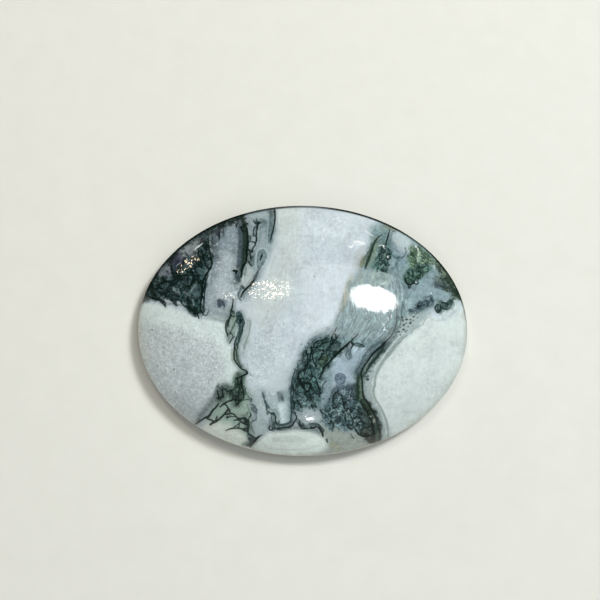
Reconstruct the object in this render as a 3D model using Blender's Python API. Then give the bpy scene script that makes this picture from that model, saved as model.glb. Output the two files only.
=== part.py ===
"""An oval moss agate cabochon: one polished stone with a domed face, a narrow girdle and a flat back.

Metres, +Z up. The stone lies on its flat back, with the origin at the centre of that back,
+X along the oval's long axis and the dome's top on +Z.
"""

import math

import bmesh
import bpy

# Driving dimensions, in metres
LENGTH = 0.0300
WIDTH = 0.0230
THICKNESS = 0.0062
BACK_BEVEL = 0.0004
GIRDLE_HEIGHT = 0.0010

# The dome falls from its top as (1 - r^2)^FULLNESS: 0.5 is an ellipsoid, 1 is a parabola
FULLNESS = 0.64

# How finely the stone is faceted
SEGMENTS = 96
DOME_RINGS = 22

# Material, from the milky ground colour of the stone
GROUND_COLOUR = (0.56, 0.62, 0.60, 1.0)
POLISH_ROUGHNESS = 0.08
CHALCEDONY_IOR = 1.535


def clear_scene():
    for obj in list(bpy.data.objects):
        bpy.data.objects.remove(obj)


def oval_ring(bm, half_length, half_width, height):
    """One closed ring of vertices on an ellipse at the given height, counter-clockwise from +X."""
    turn = 2.0 * math.pi / SEGMENTS
    return [
        bm.verts.new((half_length * math.cos(i * turn), half_width * math.sin(i * turn), height))
        for i in range(SEGMENTS)
    ]


def join_rings(bm, lower, upper):
    """A band of quads between two rings, facing outwards."""
    for i in range(SEGMENTS):
        j = (i + 1) % SEGMENTS
        bm.faces.new((lower[i], lower[j], upper[j], upper[i]))


def girdle_levels():
    """(half length, half width, height) of the back's edge, the bevel's top and the girdle's top."""
    a, b = LENGTH / 2, WIDTH / 2
    return [
        (a - BACK_BEVEL, b - BACK_BEVEL, 0.0),
        (a, b, BACK_BEVEL),
        (a, b, BACK_BEVEL + GIRDLE_HEIGHT),
    ]


def dome_levels():
    """(half length, half width, height) of each ring of the dome, from the girdle up to the last below the top."""
    base = BACK_BEVEL + GIRDLE_HEIGHT
    rise = THICKNESS - base
    levels = []
    for i in range(1, DOME_RINGS):
        angle = 0.5 * math.pi * i / DOME_RINGS
        radius = math.cos(angle)
        height = base + rise * math.sin(angle) ** (2.0 * FULLNESS)
        levels.append((radius * LENGTH / 2, radius * WIDTH / 2, height))
    return levels


def cabochon_mesh():
    bm = bmesh.new()
    rings = [oval_ring(bm, *level) for level in girdle_levels() + dome_levels()]
    for lower, upper in zip(rings, rings[1:]):
        join_rings(bm, lower, upper)
    bm.faces.new(reversed(rings[0]))
    top = bm.verts.new((0.0, 0.0, THICKNESS))
    for i in range(SEGMENTS):
        bm.faces.new((rings[-1][i], rings[-1][(i + 1) % SEGMENTS], top))
    mesh = bpy.data.meshes.new("cabochon")
    bm.to_mesh(mesh)
    bm.free()
    mesh.shade_smooth()
    mesh.set_sharp_from_angle(angle=math.radians(30))
    return mesh


def agate_material():
    material = bpy.data.materials.new("polished_moss_agate")
    material.use_nodes = True
    shader = material.node_tree.nodes["Principled BSDF"]
    shader.inputs["Base Color"].default_value = GROUND_COLOUR
    shader.inputs["Roughness"].default_value = POLISH_ROUGHNESS
    shader.inputs["Metallic"].default_value = 0.0
    shader.inputs["IOR"].default_value = CHALCEDONY_IOR
    return material


def main():
    clear_scene()
    mesh = cabochon_mesh()
    mesh.materials.append(agate_material())
    stone = bpy.data.objects.new("cabochon", mesh)
    bpy.context.scene.collection.objects.link(stone)


main()
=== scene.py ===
"""The looks of a moss agate cabochon: milky chalcedony with dark green moss, veins and clouds, polished.

The markings are drawn as curves and outlines, in pixels of the 600 x 600 photograph. Every point
of the stone's surface knows which pixel of that frame it shows in, so the markings fall where the
photograph has them, and below the dome they slant on through the stone to its back.
"""

import math
from collections import namedtuple

import bpy
import numpy as np
from mathutils import Matrix, Vector


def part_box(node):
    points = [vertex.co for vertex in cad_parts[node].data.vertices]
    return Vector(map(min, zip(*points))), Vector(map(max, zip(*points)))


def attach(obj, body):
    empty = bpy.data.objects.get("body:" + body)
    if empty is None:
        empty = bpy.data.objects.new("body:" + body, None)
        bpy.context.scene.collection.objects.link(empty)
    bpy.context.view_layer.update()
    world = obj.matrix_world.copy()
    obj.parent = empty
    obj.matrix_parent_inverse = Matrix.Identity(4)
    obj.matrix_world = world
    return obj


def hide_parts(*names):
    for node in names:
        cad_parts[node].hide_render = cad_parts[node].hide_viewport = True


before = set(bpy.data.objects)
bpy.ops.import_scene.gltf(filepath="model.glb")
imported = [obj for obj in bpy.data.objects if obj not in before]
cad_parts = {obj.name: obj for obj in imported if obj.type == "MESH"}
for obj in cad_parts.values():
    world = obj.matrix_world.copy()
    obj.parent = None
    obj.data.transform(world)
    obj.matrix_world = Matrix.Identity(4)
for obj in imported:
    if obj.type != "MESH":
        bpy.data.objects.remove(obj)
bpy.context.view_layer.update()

# The stone, in metres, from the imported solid
LOW, HIGH = (Vector(corner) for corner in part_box("cabochon"))
HALF_LENGTH = (HIGH.x - LOW.x) / 2
HALF_WIDTH = (HIGH.y - LOW.y) / 2
TOP = HIGH.z
BACK_BEVEL = 0.0004
GIRDLE_TOP = 0.0014
FULLNESS = 0.64

# The visual mesh: quads across the dome, closer together near the rim, and every third across the back
DOME_COLUMNS = 312
DOME_ROWS = 264
RIM_CROWDING = math.radians(50)
GIRDLE_RINGS = 3
BACK_STRIDE = 3
BACK_REACH = 0.965

# The photograph's side in pixels, where the stone's centre is in it, and the metres that a pixel spans
PHOTO_SIZE = 600
STONE_PIXEL = (303.15, 329.6)
PIXEL = 0.00009136

# The camera: its lens and sensor in millimetres, its lean from straight above, the side it leans to
# and the height of the plane in which a pixel spans that much
LENS = 85.0
SENSOR = 36.0
FOCAL_PIXELS = PHOTO_SIZE * LENS / SENSOR
CAMERA_TILT = math.radians(9.46)
CAMERA_SIDE = math.radians(258)
AIM_HEIGHT = 0.0010

# How wide the painted shade along the stone's upper edge reaches, and how far in the polish is less bright
DARK_EDGE = 0.00046
MATT_EDGE = 0.0022

# The painted shade of the edge fades downwards between these heights to a fifth
DARK_TOP = 0.0016
DARK_FOOT = 0.0010

# The studio's brightness at the horizon and overhead, and how much more comes from straight in front
HORIZON_LIGHT = 0.22
OVERHEAD_LIGHT = 0.08
FRONT_LIGHT = 0.15

# How the markings lean and wander on their way down through the stone, in pixels per metre of depth
LEAN = np.array([3800.0, -2600.0])
WANDER = 2600.0

# Further from every line than any line is drawn, in pixels
FAR = 40.0


def srgb(red, green, blue):
    """A colour given as 0 to 255 display values, as linear values."""
    shares = np.array([red, green, blue]) / 255.0
    return np.where(shares <= 0.04045, shares / 12.92, ((shares + 0.055) / 1.055) ** 2.4)


# The haze around each dark line: its reach in pixels and its strength
HALO_REACH = 1.9
HALO_STRENGTH = 0.24

# How far the ink strokes are drawn from the listed darkness towards full darkness
INK_FIRMNESS = 0.25

# Strokes with less slack than this are specks, which get no haze and no bands
SPECK_SLACK = 0.45

# How the ground is dimmed, the pale parts least, and its cool tint
BODY_LEVEL = 0.88
BODY_CONTRAST = 0.20
BODY_TINT = np.array([0.985, 1.0, 1.02])

# How many threads grow in each square pixel of dense moss, their step in pixels and their most steps
THREADS_PER_PIXEL = 0.19
THREAD_STEP = 1.3
THREAD_STEPS = 7

# The share of them that is pale, the most points of those, and their colour as made from the ground's
PALE_SHARE = 0.34
PALE_POINTS = 5
PALE_TINT = np.array([1.8, 1.58, 1.48])
PALE_LIFT = 0.035

# Colours of the stone
MILK = srgb(200, 213, 219)
MILK_GREEN = srgb(202, 214, 211)
CLEAR_MILK = srgb(211, 223, 219)
GRANULAR_GREY = srgb(206, 218, 218)
BLUE_GREY = srgb(135, 160, 163)
LILAC = srgb(168, 189, 199)
LILAC_GREY = srgb(146, 162, 170)
WARM_GREY = srgb(162, 173, 164)
PALE_GREEN = srgb(160, 184, 170)
TEAL_GREY = srgb(84, 108, 111)
SMOKE_TEAL = srgb(54, 76, 78)
SMOKE_GREEN = srgb(64, 86, 76)
OLIVE = srgb(112, 116, 84)
OCHRE = srgb(172, 172, 144)
PURPLE = srgb(42, 50, 70)
VEIN_BLACK = srgb(4, 26, 20)
SPECK_BLACK = srgb(22, 42, 36)
HALO_GREY = srgb(92, 114, 110)
# White for the painted glints, and for the bright flecks of the sugary grain
GLINT_AND_FLECK_WHITE = srgb(238, 244, 246)
# Painted light for the lit lower girdle, and painted shade for the dark line along the upper rim and the
# contact shadow at the foot
PAINTED_RIM_LIGHT = srgb(214, 210, 194)
RIM_SHADE = srgb(16, 26, 20)

# What is drawn on the stone, with points, widths and softness in pixels of the photograph
Line = namedtuple("Line", "points width dark colour", defaults=[VEIN_BLACK])
Fill = namedtuple("Fill", "points colour soft strength")
Smoke = namedtuple("Smoke", "points width colour strength")
Moss = namedtuple("Moss", "points ground net colour heading fade")
Fringe = namedtuple("Fringe", "points length every dark")
Sprinkle = namedtuple("Sprinkle", "points density colour strength")


# Curves

def smooth_curve(points, closed=False, spacing=1.2):
    """A curve through given points (Catmull-Rom), as points about `spacing` apart."""
    points = np.array(points, dtype=float)
    if closed:
        around = np.vstack([points[-1:], points, points[:2]])
    else:
        around = np.vstack([2 * points[0] - points[1], points, 2 * points[-1] - points[-2]])
    pieces = []
    for before, start, end, after in zip(around, around[1:], around[2:], around[3:]):
        count = max(1, math.ceil(np.linalg.norm(end - start) / spacing))
        t = (np.arange(count) / count)[:, None]
        bend = 2 * before - 5 * start + 4 * end - after
        twist = 3 * start - before - 3 * end + after
        pieces.append(start + 0.5 * t * (end - before) + 0.5 * t ** 2 * bend + 0.5 * t ** 3 * twist)
    last = points[:1] if closed else points[-1:]
    return np.vstack(pieces + [last])


def near(places, curve, margin):
    """Indices of the places inside the curve's box grown by the margin."""
    low = curve.min(axis=0) - margin
    high = curve.max(axis=0) + margin
    return np.flatnonzero(np.all((places > low) & (places < high), axis=1))


def nearest(places, curve):
    """For each place, the offset to the curve's nearest point and its share of the way along."""
    best = np.full(len(places), np.inf)
    offset = np.zeros((len(places), 2))
    along = np.zeros(len(places))
    steps = len(curve) - 1
    for index in range(steps):
        start = curve[index]
        edge = curve[index + 1] - start
        t = np.clip((places - start) @ edge / max(edge @ edge, 1e-9), 0.0, 1.0)
        to = start + t[:, None] * edge - places
        distance = np.einsum("ij,ij->i", to, to)
        closer = distance < best
        best[closer] = distance[closer]
        offset[closer] = to[closer]
        along[closer] = (index + t[closer]) / steps
    return offset, np.sqrt(best), along


def inside(places, curve):
    """Whether each place is inside a closed curve."""
    odd = np.zeros(len(places), dtype=bool)
    x, y = places.T
    for (x0, y0), (x1, y1) in zip(curve, curve[1:]):
        if y0 == y1:
            continue
        crosses = (y0 > y) != (y1 > y)
        odd ^= crosses & (x < x0 + (y - y0) * (x1 - x0) / (y1 - y0))
    return odd


def depth_inside(places, outline, reach):
    """How far each place lies inside a closed outline, in pixels: negative outside, down to -reach."""
    curve = smooth_curve(outline, closed=True)
    depth = np.full(len(places), -float(reach))
    close = near(places, curve, reach)
    _, distance, _ = nearest(places[close], curve)
    signed = np.where(inside(places[close], curve), distance, -distance)
    depth[close] = np.maximum(signed, -reach)
    return depth


def ease(value, low, high):
    """0 below low, 1 above high, and smooth between."""
    t = np.clip((value - low) / (high - low), 0.0, 1.0)
    return t * t * (3.0 - 2.0 * t)


def ripple(places, size, seed):
    """Smooth seeded noise from -1 to 1 over the places, with lumps of the given size in pixels."""
    lattice = np.random.default_rng(seed).uniform(-1.0, 1.0, (256, 256))
    scaled = places / size
    cell = np.floor(scaled).astype(int)
    part = scaled - cell
    part = part * part * (3.0 - 2.0 * part)
    column, row = cell[:, 0] % 255, cell[:, 1] % 255
    left = lattice[row, column] * (1 - part[:, 1]) + lattice[row + 1, column] * part[:, 1]
    right = lattice[row, column + 1] * (1 - part[:, 1]) + lattice[row + 1, column + 1] * part[:, 1]
    return left * (1 - part[:, 0]) + right * part[:, 0]


def polygon_area(curve):
    """The area that a closed curve encloses."""
    x, y = curve.T
    return abs(np.sum(x[:-1] * y[1:] - x[1:] * y[:-1])) / 2


def scattered(draw, outline, wanted):
    """Random points inside an outline, as many as wanted."""
    low, high = outline.min(axis=0), outline.max(axis=0)
    points = draw.uniform(low, high, (wanted * 8, 2))
    return points[inside(points, outline)][:wanted]


def grow_threads(patch, seed, share, most_points):
    """Short curling threads that fill a patch of moss and end at its outline and at clear windows."""
    draw = np.random.default_rng(seed)
    outline = smooth_curve(patch.points, closed=True)
    wanted = int(polygon_area(outline) * patch.net * THREADS_PER_PIXEL * share)
    starts = scattered(draw, outline, wanted)
    count = len(starts)
    heading = patch.heading + math.pi * draw.integers(0, 2, count) + draw.normal(0.0, 0.6, count)
    curl = draw.normal(0.0, 0.3, count)
    path = [starts]
    for _ in range(THREAD_STEPS):
        curl = curl + draw.normal(0.0, 0.15, count)
        heading = heading + curl
        path.append(path[-1] + THREAD_STEP * np.column_stack([np.cos(heading), np.sin(heading)]))
    path = np.stack(path, axis=1)
    free = inside(path.reshape(-1, 2), outline)
    for window in WINDOWS:
        free &= ~inside(path.reshape(-1, 2), smooth_curve(window.points, closed=True))
    reach = np.cumprod(free.reshape(count, -1), axis=1).sum(axis=1)
    reach = np.minimum(reach, draw.integers(3, most_points + 1, count))
    widths = draw.uniform(0.5, 1.0, count)
    darks = draw.uniform(0.45, 0.92, count)
    lines = []
    for points, steps, width, dark in zip(path, reach, widths, darks):
        if steps >= 3:
            lines.append(Line(points[:steps], (0.5 * width, width, 0.5 * width), dark, patch.colour))
    return lines


def grow_dark_threads(patch, seed):
    """The longer threads, in the patch's own colour."""
    return grow_threads(patch, seed, 1.0 - PALE_SHARE, THREAD_STEPS + 1)


def grow_pale_threads(patch, seed):
    """Shorter threads between the dark ones, paler than the patch's ground."""
    light = patch._replace(colour=patch.ground * PALE_TINT + PALE_LIFT)
    return grow_threads(light, seed, PALE_SHARE, PALE_POINTS)


def grow_grains(patch, seed):
    """Tiny bent strokes scattered over a patch, as lines."""
    draw = np.random.default_rng(seed)
    outline = smooth_curve(patch.points, closed=True)
    wanted = int(polygon_area(outline) * patch.density)
    lines = []
    for start in scattered(draw, outline, wanted):
        heading = draw.uniform(0.0, math.pi)
        step = draw.uniform(0.1, 1.4) * np.array((math.cos(heading), math.sin(heading)))
        width = draw.uniform(0.5, 1.3)
        dark = patch.strength * draw.uniform(0.4, 1.0)
        middle = start + draw.normal(0.0, 0.4, 2)
        lines.append(Line([start - step, middle, start + step], (0.6 * width, width, 0.6 * width), dark,
                          patch.colour))
    return lines


def grow_hairs(fringe, seed):
    """Fine hairs that stand off the left-hand side of a curve, as lines."""
    draw = np.random.default_rng(seed)
    curve = smooth_curve(fringe.points, spacing=1.0)
    lines = []
    for start, following in zip(curve[::fringe.every], curve[1::fringe.every]):
        ahead = math.atan2(following[1] - start[1], following[0] - start[0])
        heading = ahead - math.pi / 2 + draw.normal(0.0, 0.45)
        length = fringe.length * draw.uniform(0.35, 1.1)
        bend = draw.normal(0.0, 0.35)
        middle = start + 0.5 * length * np.array((math.cos(heading), math.sin(heading)))
        tip = middle + 0.5 * length * np.array((math.cos(heading + bend), math.sin(heading + bend)))
        dark = fringe.dark * draw.uniform(0.5, 1.0)
        lines.append(Line([start, middle, tip], (1.5, 1.1, 0.4), dark, SMOKE_TEAL))
    return lines


def grown(grow, patches, first_seed):
    """The lines that grow from all the patches, each of which has a seed of its own."""
    return [line for seed, patch in enumerate(patches, first_seed) for line in grow(patch, seed)]


# The markings, in pixels of the photograph

GROUND = [
    # The clear milky field on the right
    Fill([(412, 330), (428, 316), (445, 320), (480, 300), (485, 350), (462, 400), (420, 432), (390, 445),
          (388, 425), (376, 402), (376, 374), (393, 350)], CLEAR_MILK, 4.0, 1.0),
    # Greenish white along the left of the middle field and at the top
    Fill([(270, 205), (300, 202), (300, 260), (292, 300), (276, 320), (262, 330), (250, 320), (252, 300),
          (264, 275), (276, 250)], MILK_GREEN, 14.0, 0.9),
    Fill([(250, 318), (266, 335), (292, 360), (288, 392), (270, 398), (252, 392), (246, 376), (246, 345)],
         srgb(201, 215, 219), 8.0, 0.9),
    # The granular grey field at the lower left, paler towards its upper and right edges
    Fill([(128, 300), (150, 303), (180, 310), (205, 320), (226, 322), (231, 345), (236, 366), (243, 373),
          (232, 384), (214, 391), (212, 405), (195, 428), (160, 425), (125, 370)],
         srgb(219, 234, 231), 2.0, 1.0),
    Fill([(140, 330), (165, 328), (190, 333), (212, 342), (220, 357), (224, 372), (214, 386), (208, 402),
          (192, 424), (160, 412), (138, 370)], GRANULAR_GREY, 8.0, 1.0),
    Fill([(180, 392), (205, 388), (206, 404), (196, 426), (178, 414)], srgb(192, 203, 204), 8.0, 0.8),
    # The blue grey band between the dark corner and the green band
    Fill([(209, 228), (225, 220), (240, 214), (244, 225), (246, 245), (243, 268), (240, 285), (238, 300),
          (232, 315), (222, 322), (208, 318), (204, 300), (210, 270), (211, 250)], LILAC_GREY, 2.5, 1.0),
    Fill([(224, 254), (237, 262), (238, 285), (236, 305), (226, 312), (210, 306), (214, 284)],
         srgb(183, 197, 200), 6.0, 0.85),
    # Grey light between the veins near the top
    Fill([(248, 212), (270, 208), (276, 215), (276, 240), (268, 262), (256, 285), (245, 300), (240, 290),
          (246, 265), (249, 240)], srgb(150, 168, 172), 4.0, 0.85),
    # The top right corner, blue grey
    Fill([(372, 226), (396, 222), (425, 238), (446, 258), (462, 290), (458, 300), (440, 302), (428, 314),
          (410, 332), (398, 338), (380, 352), (362, 350), (350, 345), (336, 345), (334, 325), (342, 306),
          (350, 282), (360, 262), (369, 244)], BLUE_GREY, 5.0, 1.0),
    Fill([(393, 230), (408, 236), (412, 246), (406, 256), (396, 252), (392, 242)],
         srgb(188, 203, 206), 4.0, 0.9),
    Fill([(371, 271), (380, 273), (389, 273), (391, 280), (387, 286), (372, 284), (369, 277)],
         srgb(152, 176, 172), 2.5, 0.95),
    Fill([(436, 272), (450, 290), (442, 300), (424, 296), (410, 300), (404, 290), (424, 284)],
         srgb(142, 165, 171), 5.0, 0.9),
    # The blue pocket in the middle of the right-hand moss
    Fill([(330, 366), (345, 352), (362, 347), (368, 350), (360, 366), (357, 380), (345, 384), (332, 384),
          (326, 376)], LILAC, 3.0, 1.0),
    # Teal shade down the right side of the moss, from the pocket to the arch
    Fill([(329, 368), (333, 374), (332, 384), (330, 396), (324, 412), (318, 408), (319, 392), (322, 378)],
         srgb(146, 172, 176), 2.5, 0.95),
    # Below the pocket the mottled ground
    Fill([(328, 396), (336, 386), (350, 384), (360, 390), (362, 408), (374, 424), (372, 436), (352, 430),
          (325, 426), (318, 410)], TEAL_GREY, 4.0, 1.0),
    # Between the angular vein and the moss, with a pale tongue
    Fill([(258, 388), (275, 392), (290, 392), (292, 424), (276, 426), (266, 412)],
         srgb(172, 191, 192), 4.0, 0.9),
    Fill([(279, 402), (289, 400), (290, 421), (280, 422)], srgb(216, 235, 235), 2.0, 0.95),
    # The grey hollow inside the arch
    Fill([(298, 410), (310, 408), (322, 414), (326, 428), (316, 424), (298, 424)],
         srgb(170, 185, 186), 3.0, 1.0),
    # The foot of the stone, warm grey with a pale oval
    Fill([(322, 424), (350, 430), (378, 438), (372, 452), (330, 462), (300, 464), (262, 462), (236, 456),
          (262, 436), (300, 432)], WARM_GREY, 4.0, 0.95),
    Fill([(258, 436), (285, 430), (312, 432), (328, 442), (320, 453), (285, 455), (255, 450)],
         srgb(223, 236, 229), 4.0, 1.0),
    # Pale green under the branching veins
    Fill([(232, 376), (243, 376), (250, 396), (254, 420), (248, 436), (232, 434), (214, 426), (206, 420),
          (214, 402), (226, 392)], PALE_GREEN, 3.5, 0.95),
    Fill([(206, 424), (222, 422), (244, 434), (248, 450), (225, 446), (204, 434)],
         srgb(224, 234, 220), 4.0, 0.95),
    Fill([(250, 396), (258, 392), (264, 410), (268, 430), (258, 440), (252, 430)],
         srgb(174, 191, 190), 4.0, 0.9),
    # Between the right-hand vein and the faint outline beside it
    Fill([(402, 318), (426, 312), (420, 324), (404, 338), (390, 354), (378, 370), (373, 390), (378, 405),
          (388, 424), (389, 444), (378, 444), (372, 410), (362, 390), (362, 372), (378, 352)],
         srgb(166, 182, 180), 3.0, 0.95),
]

SOFT_CLOUDS = [
    # The dark corner: a purple grey shade, a grey window and a lilac one
    Smoke([(160, 272), (170, 267)], 7, srgb(116, 126, 132), 0.8),
    Smoke([(170, 270), (176, 259), (181, 253)], 6, PURPLE, 0.85),
    Smoke([(185, 253), (192, 247), (197, 243)], 8, srgb(136, 147, 149), 0.92),
    Smoke([(192, 298), (197, 286), (203, 275)], 6, srgb(76, 100, 100), 0.75),
    Smoke([(193, 276), (197, 274)], 5, srgb(84, 106, 104), 0.7),
    Smoke([(150, 283), (158, 291), (168, 293)], 8, srgb(14, 30, 26), 0.75),
    Smoke([(209, 232), (222, 224), (238, 216)], 7, srgb(70, 88, 90), 0.85),
    Smoke([(214, 232), (215, 244), (214, 256)], 6, srgb(72, 90, 94), 0.85),
    Smoke([(222, 236), (224, 226)], 5, srgb(96, 114, 124), 0.7),
    # Shade on the left of the green band
    Smoke([(242, 218), (243, 235), (243, 252), (241, 268), (238, 282)], 9, srgb(74, 94, 90), 0.9),
    Smoke([(271, 212), (271, 228), (270, 240)], 5, TEAL_GREY, 0.85),
    Smoke([(259, 222), (265, 222)], 5, srgb(104, 124, 128), 0.8),
    Smoke([(261, 252), (261, 262)], 5, srgb(110, 132, 136), 0.7),
    Smoke([(252, 255), (250, 268), (244, 280)], 5, srgb(140, 158, 157), 0.6),
    Smoke([(246, 266), (250, 274), (245, 284)], 7, srgb(190, 204, 201), 0.75),
    Smoke([(242, 296), (249, 287), (256, 276)], 3, srgb(112, 130, 128), 0.7),
    Smoke([(219, 304), (224, 303)], 6, srgb(92, 108, 120), 0.75),
    # The pale foot of the lilac strip
    Smoke([(207, 318), (217, 318), (227, 321)], 5, srgb(182, 195, 192), 0.75),
    Smoke([(212, 310), (222, 312)], 4, srgb(164, 178, 180), 0.5),
    # The brightest milk, at the top and in the middle
    Smoke([(310, 226), (324, 230), (342, 230)], 16, srgb(224, 237, 240), 0.6),
    Smoke([(282, 345), (274, 362), (266, 378)], 12, srgb(212, 226, 229), 0.4),
    # Grey breath around the branching veins at the lower left
    Smoke([(226, 386), (216, 395), (208, 407), (198, 420)], 7, srgb(110, 124, 124), 0.9),
    Smoke([(222, 400), (224, 392), (232, 396)], 8, srgb(78, 98, 88), 0.9),
    Smoke([(238, 378), (240, 392), (236, 402)], 9, SMOKE_GREEN, 0.85),
    Smoke([(244, 418), (249, 428), (252, 440)], 6, srgb(112, 132, 124), 0.75),
    Smoke([(252, 404), (256, 412), (254, 420)], 5, srgb(150, 164, 170), 0.6),
    Smoke([(244, 444), (252, 440)], 5, srgb(90, 110, 104), 0.8),
    # Green grey between the strands of the left vein
    Smoke([(231, 310), (229.6, 326), (229, 340)], 6, srgb(112, 132, 124), 0.75),
    Smoke([(240, 312), (241, 324), (239, 338), (236.6, 350), (237, 362), (243, 371)], 5,
          srgb(96, 118, 110), 0.8),
    Smoke([(247, 322), (248, 336), (243, 354)], 5, srgb(160, 178, 172), 0.7),
    # The shade that hangs along the left side of the right-hand moss
    Smoke([(330, 332), (314, 340), (303, 356), (294, 376), (290, 396), (291, 420)], 9,
          srgb(132, 152, 156), 0.85),
    Smoke([(268, 426), (280, 430), (298, 428), (318, 432)], 5, srgb(132, 150, 150), 0.8),
    Smoke([(280, 392), (282, 400)], 5, srgb(118, 134, 138), 0.7),
    # Olive light inside the moss
    Smoke([(330, 346), (340, 350)], 7, srgb(84, 104, 100), 0.6),
    Smoke([(322, 366), (327, 358)], 6, srgb(92, 110, 84), 0.7),
    Smoke([(306, 386), (306, 387)], 4, srgb(72, 100, 92), 0.8),
    Smoke([(301, 399), (308, 401), (315, 402)], 7, srgb(124, 152, 152), 0.8),
    # Shade around the ringed blob
    Smoke([(336, 390), (346, 388), (354, 388)], 7, srgb(98, 114, 124), 0.85),
    Smoke([(324, 382), (326, 391), (323, 400), (320, 408)], 6, srgb(138, 160, 167), 0.85),
    Smoke([(346, 346), (349, 356)], 6, srgb(104, 124, 128), 0.75),
    # The right-hand vein
    Smoke([(398, 318), (396, 328), (390, 338), (380, 348)], 6, srgb(96, 120, 120), 0.75),
    Smoke([(384, 344), (374, 353), (365, 363), (360, 372)], 11, srgb(44, 68, 66), 0.9),
    Smoke([(360, 372), (359.5, 386), (361, 400), (366, 410), (371, 420)], 8, srgb(58, 80, 70), 1.0),
    Smoke([(372, 414), (375, 426), (376, 440)], 8, srgb(38, 50, 42), 1.0),
    Smoke([(350, 414), (358, 420), (364, 426)], 8, srgb(58, 84, 84), 0.6),
    Smoke([(364, 431), (368, 434)], 6, srgb(72, 80, 66), 0.9),
    # Ochre and olive stains
    Smoke([(376, 240), (371, 252), (365, 264)], 7, srgb(100, 116, 98), 0.85),
    Smoke([(364, 256), (360, 265)], 4, OLIVE, 0.5),
    # The glassy place above the highlight
    Smoke([(375, 279), (381, 277), (387, 279)], 4, srgb(112, 142, 136), 0.75),
    Smoke([(352, 276), (347, 288), (344.5, 300), (340, 310)], 3, OCHRE, 0.55),
    Smoke([(350, 284), (347, 298), (341, 312)], 5, srgb(124, 146, 140), 0.6),
    Smoke([(340, 318), (338, 327)], 5, srgb(134, 160, 162), 0.75),
    Smoke([(385, 227), (401, 229)], 4, OLIVE, 0.65),
    Smoke([(381, 262), (384, 248), (388, 236)], 8, srgb(98, 124, 122), 0.8),
    Smoke([(333, 444), (338, 449)], 5, srgb(166, 170, 140), 0.7),
    Smoke([(411, 248), (411.4, 257), (411, 265)], 4, srgb(104, 130, 112), 0.7),
    Smoke([(440, 264), (450, 278), (458, 294)], 6, srgb(84, 100, 84), 0.8),
    Smoke([(437, 283), (442, 288)], 5, srgb(78, 92, 106), 0.75),
    Smoke([(403, 301), (410, 305), (406, 311)], 5, srgb(170, 196, 198), 0.85),
    Smoke([(392, 248), (404, 256), (400, 264)], 7, srgb(124, 148, 158), 0.7),
    Smoke([(444, 316), (456, 306)], 6, srgb(196, 210, 206), 0.7),
    # Painted shade: the right-hand edge darkened where the light falls off; a paler band near the left edge
    Smoke([(458, 372), (446, 394), (430, 412), (412, 428)], 10, srgb(186, 196, 188), 0.5),
    Smoke([(137, 314), (140, 336), (146, 356)], 6, srgb(212, 220, 214), 0.7),
    Smoke([(465, 310), (467, 335), (463, 360)], 4, srgb(180, 188, 182), 0.7),
]

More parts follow.
